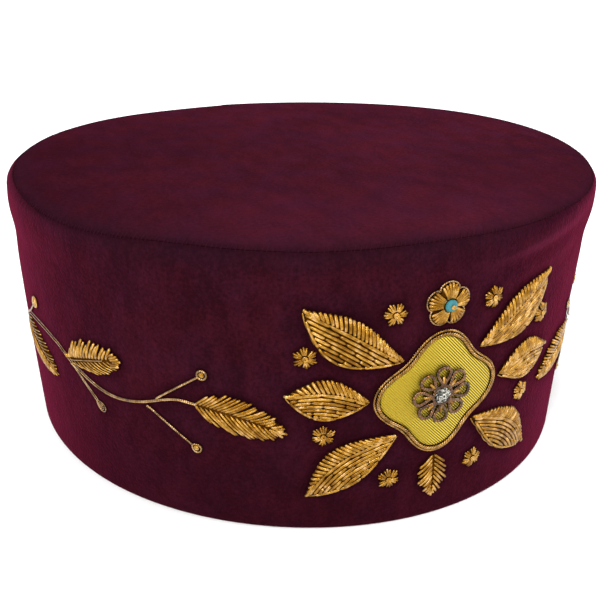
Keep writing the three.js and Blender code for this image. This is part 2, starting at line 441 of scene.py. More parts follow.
class Graph:
    """A shader node tree with short calls for adding and joining nodes."""

    def __init__(self, tree: bpy.types.NodeTree) -> None:
        """Keeps the tree that the calls work on."""
        self.tree = tree

    def feed(self, node: bpy.types.Node, inputs: dict) -> None:
        """Fills a node's inputs: a socket is linked, and anything else is set as the input's own value.

        Args:
            node: the node.
            inputs: values or sockets, by the input's name or number.
        """
        for key, value in inputs.items():
            if isinstance(value, Socket):
                self.tree.links.new(value, node.inputs[key])
            else:
                node.inputs[key].default_value = value

    def add(self, kind: str, inputs: dict | None = None, **settings: Any) -> bpy.types.Node:
        """Adds one node.

        Args:
            kind: Blender's type name of the node.
            inputs: values or sockets for its inputs, by name or number.
            settings: properties of the node itself.

        Returns:
            The node.
        """
        node = self.tree.nodes.new(kind)
        for name, value in settings.items():
            setattr(node, name, value)
        self.feed(node, inputs or {})
        return node

    def math(self, operation: str, a: Any, b: Any = 0.0, c: Any = 0.0) -> Socket:
        """One Math node's result."""
        return self.add("ShaderNodeMath", {0: a, 1: b, 2: c}, operation=operation).outputs[0]

    def blend(self, factor: Any, a: Any, b: Any, mode: str = "MIX") -> Socket:
        """Mixes two colours by a factor."""
        inputs = {0: factor, 6: rgba(a), 7: rgba(b)}
        return self.add("ShaderNodeMix", inputs, data_type="RGBA", blend_type=mode).outputs[2]

    def span(
        self, value: Any, low: float, high: float, to_low: float = 0.0, to_high: float = 1.0
    ) -> Socket:
        """Maps a value from one span to another, smoothly and without leaving it."""
        inputs = {0: value, 1: low, 2: high, 3: to_low, 4: to_high}
        return self.add("ShaderNodeMapRange", inputs, interpolation_type="SMOOTHSTEP").outputs[0]

    def carried(self, name: str) -> Socket:
        """A named value that the mesh carries."""
        return self.add("ShaderNodeAttribute", attribute_name=name).outputs["Fac"]

    def place(self) -> Socket:
        """Object coordinates, in metres."""
        return self.add("ShaderNodeTexCoord").outputs["Object"]

    def split(self, vector: Socket) -> Sequence[Socket]:
        """The three parts of a vector."""
        return self.add("ShaderNodeSeparateXYZ", {0: vector}).outputs

    def noise(self, vector: Any, scale: Any, detail: float = 2.0, rough: float = 0.5) -> Socket:
        """A noise value between 0 and 1."""
        inputs = {"Vector": vector, "Scale": scale, "Detail": detail, "Roughness": rough}
        return self.add("ShaderNodeTexNoise", inputs).outputs[0]

    def stretched(self, vector: Any, scale: Triple) -> Socket:
        """Coordinates multiplied by a factor on each axis."""
        return self.add("ShaderNodeVectorMath", {0: vector, 1: scale}, operation="MULTIPLY").outputs[0]

    def bump(self, height: Any, depth_mm: float) -> Socket:
        """A normal pushed by a height between 0 and 1 that stands for depth_mm."""
        return self.add("ShaderNodeBump", {"Height": height, "Distance": depth_mm * MM}).outputs["Normal"]

    def group(self, tree: bpy.types.NodeTree, *inputs: Any) -> Sequence[Socket]:
        """The results of a shared node group for its inputs in order."""
        return self.add("ShaderNodeGroup", dict(enumerate(inputs)), node_tree=tree).outputs


class Paint(Graph):
    """The node tree of a new material with one Principled shader."""

    def __init__(self, name: str, constants: dict) -> None:
        """Starts the material.

        Args:
            name: name of the material.
            constants: values set straight on the shader's sockets.
        """
        self.material = bpy.data.materials.new(name)
        self.material.use_nodes = True
        super().__init__(self.material.node_tree)
        self.tree.nodes.clear()
        self.shader = self.add("ShaderNodeBsdfPrincipled", constants)
        self.add("ShaderNodeOutputMaterial", {"Surface": self.shader.outputs[0]})

    def finished(self, inputs: dict) -> bpy.types.Material:
        """Feeds the shader its links and gives the material."""
        self.feed(self.shader, inputs)
        return self.material


def shared_group(name: str, inputs: Sequence[str], outputs: Sequence[str]) -> tuple:
    """Starts a shader node group with number inputs and outputs.

    Args:
        name: name of the group.
        inputs: names of its inputs; one that is called Place takes coordinates.
        outputs: names of its outputs.

    Returns:
        The group's graph, its input values and its output node.
    """
    tree = bpy.data.node_groups.new(name, "ShaderNodeTree")
    for label in inputs:
        kind = "NodeSocketVector" if label == "Place" else "NodeSocketFloat"
        tree.interface.new_socket(label, in_out="INPUT", socket_type=kind)
    for label in outputs:
        tree.interface.new_socket(label, in_out="OUTPUT", socket_type="NodeSocketFloat")
    graph = Graph(tree)
    given = graph.add("NodeGroupInput").outputs
    return graph, [given[label] for label in inputs], graph.add("NodeGroupOutput")


class Effects:
    """The node groups that several finishes share."""

    def __init__(self) -> None:
        """Builds each group once."""
        self.coil = self.build_coil()
        self.cloud = self.build_cloud()
        self.weave = self.build_weave()

    @staticmethod
    def build_coil() -> bpy.types.NodeTree:
        """Turns of a fine wire: Ridge is a cosine along the strand, Groove is 1 between two turns.

        Returns:
            The group's tree.
        """
        graph, (along, pitch), result = shared_group("Wire coil", ["Along", "Pitch"], ["Ridge", "Groove"])
        wave = graph.math("COSINE", graph.math("MULTIPLY", graph.math("DIVIDE", along, pitch), TURN))
        ridge = graph.math("MULTIPLY_ADD", wave, 0.5, 0.5)
        graph.feed(result, {"Ridge": ridge, "Groove": graph.span(ridge, 0.45, 0.0)})
        return graph.tree

    @staticmethod
    def build_cloud() -> bpy.types.NodeTree:
        """Soft patches and fine grain: Patch is slow noise with its contrast raised, Grain is fine noise.

        Returns:
            The group's tree.
        """
        names = ["Place", "Patch Scale", "Grain Scale"]
        graph, (place, slow, fine), result = shared_group("Patches and grain", names, ["Patch", "Grain"])
        patch = graph.span(graph.noise(place, slow, 3.0, 0.55), 0.3, 0.7)
        graph.feed(result, {"Patch": patch, "Grain": graph.noise(place, fine, 2.0, 0.6)})
        return graph.tree

    @staticmethod
    def build_weave() -> bpy.types.NodeTree:
        """Two sets of threads: Height is the sum of both rounded threads, in shares of the cross depth.

        Returns:
            The group's tree.
        """
        names = ["Across", "Along", "Cross Depth"]
        graph, (across, along, depth), result = shared_group("Woven threads", names, ["Height"])
        warp, weft = (
            graph.math("ABSOLUTE", graph.math("SINE", graph.math("MULTIPLY", way, math.pi)))
            for way in (across, along)
        )
        kept = graph.math("SUBTRACT", 1.0, depth)
        height = graph.math("MULTIPLY_ADD", warp, kept, graph.math("MULTIPLY", weft, depth))
        graph.feed(result, {"Height": height})
        return graph.tree


# Finishes


@dataclass(frozen=True)
class WireFinish:
    """Coiled metal wire: turns along the strand, darker between the turns, painted shade under each wire,
    painted glints in cream patches, and strands of several tones.
    """

    name: str
    bright: Colour
    deep: Colour
    # Tarnish of the worn patches, and the colour of the painted shade under each wire.
    tarnish_and_shade: Colour
    pitch: float = 0.36
    roughness: float = 0.3
    depth: float = 0.035
    groove: float = 0.45
    lacquer: float = 0.12
    # Cream of the painted glints, which lie in random patches.
    glint_cream: Colour = (0.78, 0.49, 0.19)
    glint_share: float = 0.65
    worn_share: float = 0.62
    underside_shade_share: float = 0.97
    scales: Point = (420.0, 2400.0)

    def material(self, effects: Effects) -> bpy.types.Material:
        """Builds the metal: tone picks the colour, patches of it are worn or lightened to cream as painted
        glints, painted shade darkens each wire's underside, turns push the normal.

        Args:
            effects: the shared groups.

        Returns:
            The material.
        """
        paint = Paint(self.name, {"Metallic": 1.0, "Coat Weight": self.lacquer, "Coat Roughness": 0.13})
        ridge, groove = paint.group(effects.coil, paint.carried("along"), self.pitch)
        patch, grain = paint.group(effects.cloud, paint.place(), *self.scales)
        # Painted shade under each wire, where its crest is low, and darker grooves between the turns, both
        # towards the tarnish colour.
        under = paint.span(paint.carried("crest"), 0.84, 0.34, 0.0, self.underside_shade_share)
        dark = paint.math("MAXIMUM", paint.math("MULTIPLY", groove, self.groove), under)
        colour = paint.blend(paint.carried("tone"), self.deep, self.bright)
        # Painted highlights: random patches lightened towards cream stand in for glints.
        colour = paint.blend(paint.span(patch, 0.4, 0.0, 0.0, self.glint_share), colour, self.glint_cream)
        colour = paint.blend(paint.span(patch, 0.4, 1.0, 0.0, self.worn_share), colour, self.tarnish_and_shade)
        return paint.finished({
            "Base Color": paint.blend(dark, colour, self.tarnish_and_shade),
            "Roughness": paint.math("MULTIPLY_ADD", grain, 0.22, self.roughness - 0.08),
            "Normal": paint.bump(ridge, self.depth),
        })


@dataclass(frozen=True)
class VelvetFinish:
    """Cut pile: dark seen straight on, pink red at a glance, brushed into patches."""

    name: str
    deep: Colour
    light: Colour
    stroke: Triple
    sheen_weight: float
    sheen_rough: float = 0.3
    sheen: Colour = (1.0, 0.075, 0.245)
    scales: Point = (30.0, 1150.0)
    stroke_scale: float = 150.0
    mood_scale: float = 70.0
    base_tone: float = 0.2
    patchy: float = 0.24
    contrast: float = 1.3
    grainy: float = 1.5
    rub: float = 0.64
    low_shade: float = 0.24
    left_shade: float = 0.0
    right_shade: float = 0.0
    front_light: float = 0.0
    embroidery_shade_share: float = 0.4
    streak_light: float = 0.45
    streak_shade: float = 0.7
    seam_share: float = 0.34
    seam_shade_reach: float = 4.2
    groove_reach: float = 2.2
    pile_depth: float = 0.24
    # Colour of the painted shade and of the darker hem.
    dark: Colour = (0.0080, 0.0012, 0.0026)
    # Colour of the painted shade along the seam.
    seam_shade: Colour = (0.0108, 0.0048, 0.0108)
    cold: Colour = (0.93, 1.0, 1.08)
    warm: Colour = (1.07, 0.97, 0.9)
    # Colour of the painted light on the front of the top and on the crests of the creases.
    painted_light: Colour = (0.088, 0.0125, 0.030)

    def material(self, effects: Effects) -> bpy.types.Material:
        """Builds the pile: patches, brush strokes and grain, warmer and colder places, then painted light
        and shade, with painted shade along the seam.

        Args:
            effects: the shared groups.

        Returns:
            The material.
        """
        paint = Paint(self.name, {
            "Sheen Weight": self.sheen_weight,
            "Sheen Roughness": self.sheen_rough,
            "Sheen Tint": rgba(self.sheen),
            "Specular IOR Level": 0.0,
        })
        place = paint.place()
        patch, grain = paint.group(effects.cloud, place, *self.scales)
        brushed = paint.noise(paint.stretched(place, self.stroke), self.stroke_scale, 5.0, self.rub)
        tone = self.base_tone - 0.5 * (self.contrast + self.grainy)
        for noise, share in ((patch, self.patchy), (brushed, self.contrast), (grain, self.grainy)):
            tone = paint.math("MULTIPLY_ADD", noise, share, tone)
        colour = paint.blend(tone, self.deep, self.light)
        mood = paint.span(paint.noise(place, self.mood_scale, 4.0, 0.65), 0.35, 0.65)
        colour = paint.blend(1.0, colour, paint.blend(mood, self.cold, self.warm), "MULTIPLY")
        for share, tint in self.shades(paint, place):
            colour = paint.blend(share, colour, tint)
        return paint.finished({
            "Base Color": colour,
            "Roughness": paint.math("MULTIPLY_ADD", brushed, 0.2, 0.72),
            "Normal": paint.bump(paint.math("MULTIPLY_ADD", brushed, 1.5, grain), self.pile_depth),
        })

    def shades(self, paint: Paint, place: Socket) -> list[tuple[Socket, Colour]]:
        """The painted light and shade of the pile and its darker hem, in the order in which they are laid
        on.

        Args:
            paint: the material's graph.
            place: Object coordinates.

        Returns:
            The share and the colour of each.
        """
        x, y, z = paint.split(place)
        low = paint.span(z, 0.05, 0.0, 0.0, self.low_shade)
        left = paint.span(x, 0.03, -0.1, 0.0, self.left_shade)
        right = paint.math("MULTIPLY", paint.span(x, 0.0, 0.045), self.right_shade)
        right = paint.math("MULTIPLY", paint.span(y, -0.03, -0.065), right)
        away, streak = paint.carried("seam"), paint.carried("streak")
        return [
            # Darker towards the hem, and painted shade on the left and at the front right.
            (paint.math("ADD", paint.math("ADD", low, left), right), self.dark),
            # Painted light on the front of the top.
            (paint.span(y, -0.03, -0.09, 0.0, self.front_light), self.painted_light),
            # Painted shade round the embroidery.
            (paint.span(paint.carried("pressed"), 0.02, 0.5, 0.0, self.embroidery_shade_share), self.dark),
            # Painted light on the crests of the creases and painted shade in their troughs.
            (paint.span(streak, 0.0, 1.0, 0.0, self.streak_light), self.painted_light),
            (paint.span(streak, 0.0, -1.0, 0.0, self.streak_shade), self.dark),
            # Painted shade along the seam: a wide valley towards the seam shade colour and a narrow groove
            # towards the dark colour.
            (paint.span(away, self.seam_shade_reach, 0.3, 0.0, self.seam_share), self.seam_shade),
            (paint.span(away, self.groove_reach, 0.05, 0.0, self.seam_share), self.dark),
        ]


class Lay(Enum):
    """How the threads of the velvet's ground cloth lie."""

    ROUND = "round the band"
    FLAT = "across the top"


@dataclass(frozen=True)
class BackingFinish:
    """The plain ground cloth on the inside of the velvet."""

    name: str
    lay: Lay
    deep: Colour = (0.020, 0.004, 0.007)
    light: Colour = (0.070, 0.018, 0.028)
    threads_round: int = 860
    pitch: float = 0.7
    depth: float = 0.16
    scales: Point = (60.0, 1500.0)

    def material(self, effects: Effects) -> bpy.types.Material:
        """Builds the weave from the turn and height on the band, or from x and y under the top.

        Args:
            effects: the shared groups.

        Returns:
            The material.
        """
        paint = Paint(self.name, {"Specular IOR Level": 0.15})
        place = paint.place()
        x, y, z = paint.split(place)
        if self.lay is Lay.ROUND:
            across = paint.math("MULTIPLY", paint.math("ARCTAN2", x, y), self.threads_round / TURN)
        else:
            across = paint.math("DIVIDE", x, self.pitch * MM)
        along = paint.math("DIVIDE", z if self.lay is Lay.ROUND else y, self.pitch * MM)
        (height,) = paint.group(effects.weave, across, along, 0.5)
        patch, grain = paint.group(effects.cloud, place, *self.scales)
        # Painted light and shade of the weave: lighter on the raised threads, darker between them.
        tone = paint.math("MULTIPLY", paint.math("MULTIPLY_ADD", patch, 0.3, height), 0.75)
        return paint.finished({
            "Base Color": paint.blend(tone, self.deep, self.light),
            "Roughness": paint.math("MULTIPLY_ADD", grain, 0.2, 0.75),
            "Normal": paint.bump(height, self.depth),
        })


@dataclass(frozen=True)
class RibbedClothFinish:
    """Yellow metal cloth with slanted ribs that show on its right and melt into satin on its left."""

    name: str = "ribbed_gold_cloth"
    bright: Colour = (0.70, 0.53, 0.055)
    satin: Colour = (0.33, 0.225, 0.0115)
    deep: Colour = (0.075, 0.046, 0.002)
    pitch: float = 0.6
    cross_pitch: float = 0.3
    cross_depth: float = 0.18
    slant: float = 47.0
    depth: float = 0.14
    drift: float = 9.0
    scales: Point = (110.0, 2600.0)

    def material(self, effects: Effects) -> bpy.types.Material:
        """Builds the ribs from the flat place turned by the slant, with fine threads across them.

        Args:
            effects: the shared groups.

        Returns:
            The material.
        """
        paint = Paint(self.name, {"Specular IOR Level": 0.2})
        s, z = paint.carried("flat_s"), paint.carried("flat_z")
        cos, sin = rays(math.radians(self.slant)).tolist()
        across = paint.math("MULTIPLY", s, sin / self.pitch)
        across = paint.math("MULTIPLY_ADD", z, cos / self.pitch, across)
        along = paint.math("MULTIPLY", z, -sin / self.cross_pitch)
        along = paint.math("MULTIPLY_ADD", s, cos / self.cross_pitch, along)
        (height,) = paint.group(effects.weave, across, along, self.cross_depth)
        patch, grain = paint.group(effects.cloud, paint.place(), *self.scales)
        ribbed = paint.span(paint.math("MULTIPLY_ADD", patch, self.drift, s), -7.0, 9.0, 0.12, 1.0)
        # Painted light and shade on the ribs: gap darkens between them towards the deep colour and lit
        # brightens their tops, where the ribs show.
        gap = paint.math("MULTIPLY", paint.span(height, 0.88, 0.36), ribbed)
        lit = paint.math("MULTIPLY", paint.span(height, 0.5, 0.95), ribbed)
        colour = paint.blend(paint.math("MULTIPLY_ADD", grain, 0.3, lit), self.satin, self.bright)
        return paint.finished({
            "Base Color": paint.blend(gap, colour, self.deep),
            "Metallic": paint.span(height, 0.2, 0.8, 0.35, 0.75),
            "Roughness": paint.span(height, 0.0, 0.8, 0.6, 0.4),
            "Normal": paint.bump(height, self.depth),
        })


@dataclass(frozen=True)
class ThreadFinish:
    """Plain thread: the padding under the wire, the seam's stitches and satin stitch silk."""

    name: str
    bright: Colour
    deep: Colour
    pitch: float
    roughness: float = 0.8
    sheen: float = 0.0
    gloss: float = 0.0
    depth: float = 0.08
    scales: Point = (500.0, 2500.0)

    def material(self, effects: Effects) -> bpy.types.Material:
        """Builds fine threads along the carried direction, with patches of tone.

        Args:
            effects: the shared groups.

        Returns:
            The material.
        """
        paint = Paint(self.name, {
            "Sheen Weight": self.sheen,
            "Sheen Tint": rgba(self.bright),
            "Specular IOR Level": self.gloss,
        })
        ridge = paint.group(effects.coil, paint.carried("along"), self.pitch)[0]
        patch, grain = paint.group(effects.cloud, paint.place(), *self.scales)
        # Painted light and shade of the thread: lighter on each ridge, darker between the ridges.
        tone = paint.math("MULTIPLY_ADD", patch, 0.5, paint.math("MULTIPLY", ridge, 0.5))
        return paint.finished({
            "Base Color": paint.blend(tone, self.deep, self.bright),
            "Roughness": paint.math("MULTIPLY_ADD", grain, 0.2, self.roughness - 0.1),
            "Normal": paint.bump(ridge, self.depth),
        })


@dataclass(frozen=True)
class FloorFinish:
    """Plain pale studio floor."""

    name: str = "pale_floor"
    colour: Colour = (0.97, 0.97, 0.97)
    uneven: float = 0.985
    scales: Point = (3.0, 90.0)

    def material(self, effects: Effects) -> bpy.types.Material:
        """Builds a matt floor with a trace of unevenness.

        Args:
            effects: the shared groups.

        Returns:
            The material.
        """
        paint = Paint(self.name, {"Specular IOR Level": 0.05})
        patch, grain = paint.group(effects.cloud, paint.place(), *self.scales)
        tint = tuple(self.uneven * part for part in self.colour)
        return paint.finished({
            "Base Color": paint.blend(patch, tint, self.colour),
            "Roughness": paint.span(grain, 0.0, 1.0, 0.85, 0.95),
        })


class Finishes:
    """Every material of the cap, built once."""

    def __init__(self) -> None:
        """Builds the shared groups and then the materials."""
        effects = Effects()
        self.side_velvet = VelvetFinish(
            "burgundy_velvet_side", (0.0163, 0.0029, 0.0056), (0.0410, 0.0061, 0.0132), (1.0, 1.0, 0.6),
            sheen_weight=0.2, sheen_rough=0.38, contrast=1.8, rub=0.74, seam_shade_reach=7.5,
        ).material(effects)
        # The top's base is lighter than the side's, partly as painted light because it faces the lamps; its
        # front light and its left and right shade are painted light and shade.
        self.top_velvet = VelvetFinish(
            "burgundy_velvet_top", (0.0245, 0.0042, 0.0084), (0.0575, 0.0082, 0.0184), (1.0, 0.45, 1.0),
            sheen_weight=0.04, contrast=1.2, rub=0.68, left_shade=0.42, right_shade=0.3, front_light=0.12,
            seam_shade_reach=8.5, cold=(0.9, 1.0, 1.12), warm=(1.1, 0.96, 0.87),
        ).material(effects)
        self.band_back = BackingFinish("velvet_back_round", Lay.ROUND).material(effects)
        self.top_back = BackingFinish("velvet_back_flat", Lay.FLAT).material(effects)
        self.bullion = WireFinish(
            "gold_bullion", (0.56, 0.30, 0.043), (0.28, 0.128, 0.0075), (0.135, 0.042, 0.001)
        ).material(effects)
        self.wire = WireFinish(
            "pale_gold_wire", (0.46, 0.265, 0.095), (0.18, 0.095, 0.031), (0.04, 0.014, 0.004),
            pitch=0.62, roughness=0.28, depth=0.05, groove=0.6, lacquer=0.35, glint_cream=(0.68, 0.44, 0.22),
        ).material(effects)
        self.rope = WireFinish(
            "brown_gold_rope", (0.58, 0.31, 0.055), (0.38, 0.18, 0.022), (0.06, 0.020, 0.003),
            pitch=0.4, roughness=0.28, depth=0.03, lacquer=0.4,
        ).material(effects)
        self.purl = WireFinish(
            "dark_purl", (0.21, 0.088, 0.026), (0.085, 0.031, 0.010), (0.020, 0.007, 0.003),
            pitch=0.8, roughness=0.28, depth=0.14, groove=0.7, lacquer=0.5, glint_cream=(0.30, 0.14, 0.05),
        ).material(effects)
        self.chip = WireFinish(
            "silver_chip", (0.62, 0.60, 0.52), (0.05, 0.05, 0.05), (0.02, 0.02, 0.02),
            pitch=0.5, roughness=0.28, depth=0.08, glint_cream=(0.8, 0.8, 0.75),
        ).material(effects)
        self.cloth = RibbedClothFinish().material(effects)
        # The padding is dark: partly its own colour, partly painted shade in the gaps between the strands.
        self.padding = ThreadFinish(
            "padding_thread", (0.10, 0.035, 0.003), (0.030, 0.009, 0.001), pitch=0.5
        ).material(effects)
        self.silk = ThreadFinish(
            "teal_silk", (0.04, 0.28, 0.30), (0.012, 0.09, 0.12),
            pitch=0.42, roughness=0.42, sheen=0.3, gloss=0.4,
        ).material(effects)
        self.seam_thread = ThreadFinish(
            "seam_thread", (0.040, 0.0090, 0.0170), (0.020, 0.0044, 0.0088), pitch=0.4
        ).material(effects)
        self.floor = FloorFinish().material(effects)


# Pieces


Layer = tuple[Surface, bpy.types.Material]


def build_piece(name: str, layers: Sequence[Layer], node: str) -> None:
    """Puts surfaces into one mesh object that stands for a solid and rides on the cap's one body.

    Args:
        name: name of the piece.
        layers: surfaces in millimetres round the cap, each with its material.
        node: the solid that the piece replaces.
    """
    piece = mesh_object(name, layers)
    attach(piece, "root")
    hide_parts(node)
    LOG.info("%s: %d faces for %s", name, len(piece.data.polygons), node)


def mesh_object(name: str, layers: Sequence[Layer]) -> bpy.types.Object:
    """Writes points, faces, values and material numbers into a new mesh.

    Args:
        name: name of the object and its mesh.
        layers: surfaces in millimetres, each with its material.

    Returns:
        The object, at the origin and linked to the scene.
    """
    surfaces, materials = zip(*layers)
    whole = Surface.join(surfaces)
    counts = [len(part.quads) for part in surfaces] + [len(part.tris) for part in surfaces]
    sizes = np.repeat([4, 3], [len(whole.quads), len(whole.tris)])
    mesh = bpy.data.meshes.new(name)
    mesh.vertices.add(len(whole.points))
    mesh.vertices.foreach_set("co", (whole.points * MM).astype(np.float32).ravel())
    mesh.loops.add(sizes.sum())
    corners = np.concatenate([whole.quads.ravel(), whole.tris.ravel()])
    mesh.loops.foreach_set("vertex_index", corners.astype(np.int32))
    mesh.polygons.add(len(sizes))
    mesh.polygons.foreach_set("loop_start", (np.cumsum(sizes) - sizes).astype(np.int32))
    for material in materials:
        mesh.materials.append(material)
    picks = np.repeat(np.tile(np.arange(len(layers)), 2), counts)
    mesh.polygons.foreach_set("material_index", picks.astype(np.int32))
    mesh.polygons.foreach_set("use_smooth", np.ones(len(sizes), dtype=bool))
    for label, values in whole.values.items():
        mesh.attributes.new(label, "FLOAT", "POINT").data.foreach_set("value", values.astype(np.float32))
    mesh.update(calc_edges=True)
    mesh.validate()
    piece = bpy.data.objects.new(name, mesh)
    bpy.context.scene.collection.objects.link(piece)
    return piece


@dataclass
class VelvetShell:
    """The two velvet pieces, the side band and the top panel, and the stitches of the seam between them.

    Both share one outer skin: the wall, a round rim and the top. A place on it is a turn and an arc
    length, which is counted up the wall from the foot of the rim, round it and in over the top.
    """

    wall: Wall
    finishes: Finishes
    pressed: Array
    chance: np.random.Generator
    columns: int = 640
    thickness: float = 2.5
    hem_round: float = 0.7
    roll: float = 3.5
    panel_under: float = 84.45
    panel_top: float = 87.7
    allowance: float = 1.1
    clear: float = 0.2
    seam_gap: float = 0.06
    fall: float = 1.1
    fall_reach: float = 14.0
    lip: float = 1.2
    lip_depth: float = 0.14
    valley: float = 3.2
    valley_depth: float = 0.35
    far: float = 40.0
    embroidery_shade_spread: float = 1.7
    stitches: int = 490
    stitch_radius: float = 0.12
    stitch_arc: tuple[float, ...] = (-0.6, -0.2, 0.25, 0.7, 1.0)
    stitch_rise: tuple[float, ...] = (-0.3, -0.02, 0.03, 0.0, -0.25)
    rim_waves: tuple[Triple, ...] = ((1, 0.0, 0.2), (3, 0.22, -0.21))
    rim_bells: tuple[Triple, ...] = ((96.0, 0.65, 34.0), (-116.0, 0.5, 24.0), (-168.0, -0.4, 15.0))
    seam_stops: tuple[Point, ...] = (
        (-180.0, 2.7), (-125.0, 3.2), (-90.0, 4.0), (-64.0, 1.1), (-53.0, 1.5), (-42.0, 2.5), (-30.0, 2.1),
        (-18.0, 1.9), (0.0, 2.65), (18.0, 2.3), (35.0, 2.6), (90.0, 2.6), (180.0, 2.7),
    )
    near_rows: tuple[float, ...] = (0.0, 0.06, 0.14, 0.25, 0.4, 0.6, 0.9, 1.3, 1.8)
    rim_rows: tuple[float, ...] = (
        1.0, 0.9, 0.8, 0.7, 0.6, 0.5, 0.42, 0.35, 0.28, 0.2, 0.14, 0.09, 0.05, 0.02, 0.0,
    )

    def angles(self) -> Array:
        """Even turns from the front, in radians, in one row."""
        return (even_turns(self.columns) - np.pi)[None, :]

    def foot(self) -> float:
        """Height where the rim starts to turn in."""
        return self.panel_top - self.fall - self.roll

    def seam(self, angle: Array) -> Array:
        """Arc length of the seam, which wanders up and down the rim on a smooth curve through its stops."""
        curve = smooth_route(self.seam_stops, 400)
        return np.interp(np.degrees(angle), curve[:, 0], curve[:, 1])

    def skin(self, angle: Array, arc: Array, lift: Array) -> tuple[Array, Array]:
        """The outer skin: the wall below the rim, a quarter round, then the top.

        The top rises from the rim as 1 - (1 - d / reach) squared, and its edge rises and dips in slow
        waves. The out of round shape of the wall fades out towards the middle of the top.

        Args:
            angle: turn from the front, in radians.
            arc: arc length from the foot of the rim, below 0 on the wall.
            lift: height above the skin.

        Returns:
            The radius and the height z.
        """
        turn = np.clip(arc / self.roll, 0, np.pi / 2)
        inward = np.maximum(arc - self.roll * np.pi / 2, 0)
        level = self.foot() + np.minimum(arc, 0)
        true = self.wall.cone(level)
        kept = np.clip(1 - inward / (true - self.roll), 0, 1)
        radius = true + self.wall.sway(angle, level) * kept**8 - self.roll * (1 - np.cos(turn)) - inward
        rise = 1 - np.clip(1 - inward / self.fall_reach, 0, 1) ** 2
        wave = waves(angle, self.rim_waves) + bells(np.degrees(angle), self.rim_bells)
        z = level + self.roll * np.sin(turn) + self.fall * rise + wave * kept**2 * np.sin(turn)
        return radius + lift * np.cos(turn), z + lift * np.sin(turn)

    def sunk(self, away: Array) -> Array:
        """How deep the skin dips near the seam: a narrow lip in a wide shallow valley, both squares."""
        narrow = self.lip_depth * np.clip(1 - away / self.lip, 0, 1) ** 2
        return narrow + self.valley_depth * np.clip(1 - away / self.valley, 0, 1) ** 2

    def band(self) -> None:
        """Builds the band: a closed profile carried round the axis, with pile outside and cloth inside.

        The profile goes down from the seam, over the rim and the outer face, round the hem and up the
        inside. The outer rows are set by their distance from the seam, close together near it.
        """
        angle = self.angles()
        hem = self.hem_round
        start = self.seam(angle) - self.seam_gap
        rest = start - (hem - self.foot()) - self.near_rows[-1]
        near = np.array(self.near_rows)[:, None] + 0 * rest
        away = np.concatenate([near, self.near_rows[-1] + rest * np.linspace(0, 1, 92)[1:-1, None]])
        outer_radius, outer_z = self.skin(angle, start - away, -self.sunk(away))
        quarter = np.linspace(0, np.pi / 2, 6)[:, None]
        inner_z = np.linspace(hem, self.panel_under - self.clear, 14)[1:, None]
        low_z = np.concatenate([hem * (1 - np.sin(quarter)), hem * (1 - np.cos(quarter)), inner_z])
        inset = np.concatenate([
            hem * (1 - np.cos(quarter)),
            self.thickness - hem + hem * np.sin(quarter),
            np.full_like(inner_z, self.thickness),
        ])
        low_radius = self.wall.radius(angle, low_z) - inset
        z = np.concatenate([outer_z, low_z + 0 * low_radius])
        points = on_cap(angle, np.concatenate([outer_radius, low_radius]), z)
        inside = np.append(np.zeros(len(outer_z), dtype=bool), inset >= self.thickness - hem)
        quads = grid_quads(len(points), self.columns, ring_rows=True)
        backed = np.repeat(inside, self.columns)[quads].all(axis=1)
        values = {
            "seam": np.concatenate([away, np.full_like(low_radius, self.far)]).ravel(),
            # Painted shade round the embroidery.
            "pressed": self.embroidery_shade_at(angle, z).ravel(),
            # Painted light and shade from the creases.
            "streak": self.wall.creases(angle, z).ravel(),
        }
        pile = Surface(points.reshape(-1, 3), quads[~backed], values=values)
        layers = [
            (pile, self.finishes.side_velvet),
            (self.backing(pile, quads[backed]), self.finishes.band_back),
        ]
        build_piece("velvet_band", layers, "side_band")

    def embroidery_shade_at(self, angle: Array, z: Array) -> Array:
        """Painted shade round the embroidery, where it presses and shades the pile, blended from millimetre
        cells that it covers.

        Each row takes its mean height, and each cell spreads as a bell curve in both directions.

        Args:
            angle: turns of the columns.
            z: heights of the points.

        Returns:
            A share from 0 to 1 for each point.
        """
        width = math.sqrt(2) * self.embroidery_shade_spread
        cells_s, cells_z = (np.arange(size) + 0.5 for size in self.pressed.shape)
        s = angle.ravel() * self.wall.mean_radius + 0.5 * self.pressed.shape[0]
        near_s = bell(s[:, None], cells_s, width)
        near_z = bell(z.mean(axis=1)[:, None], cells_z, width)
        return near_z @ self.pressed.T @ near_s.T / (np.pi * width**2)

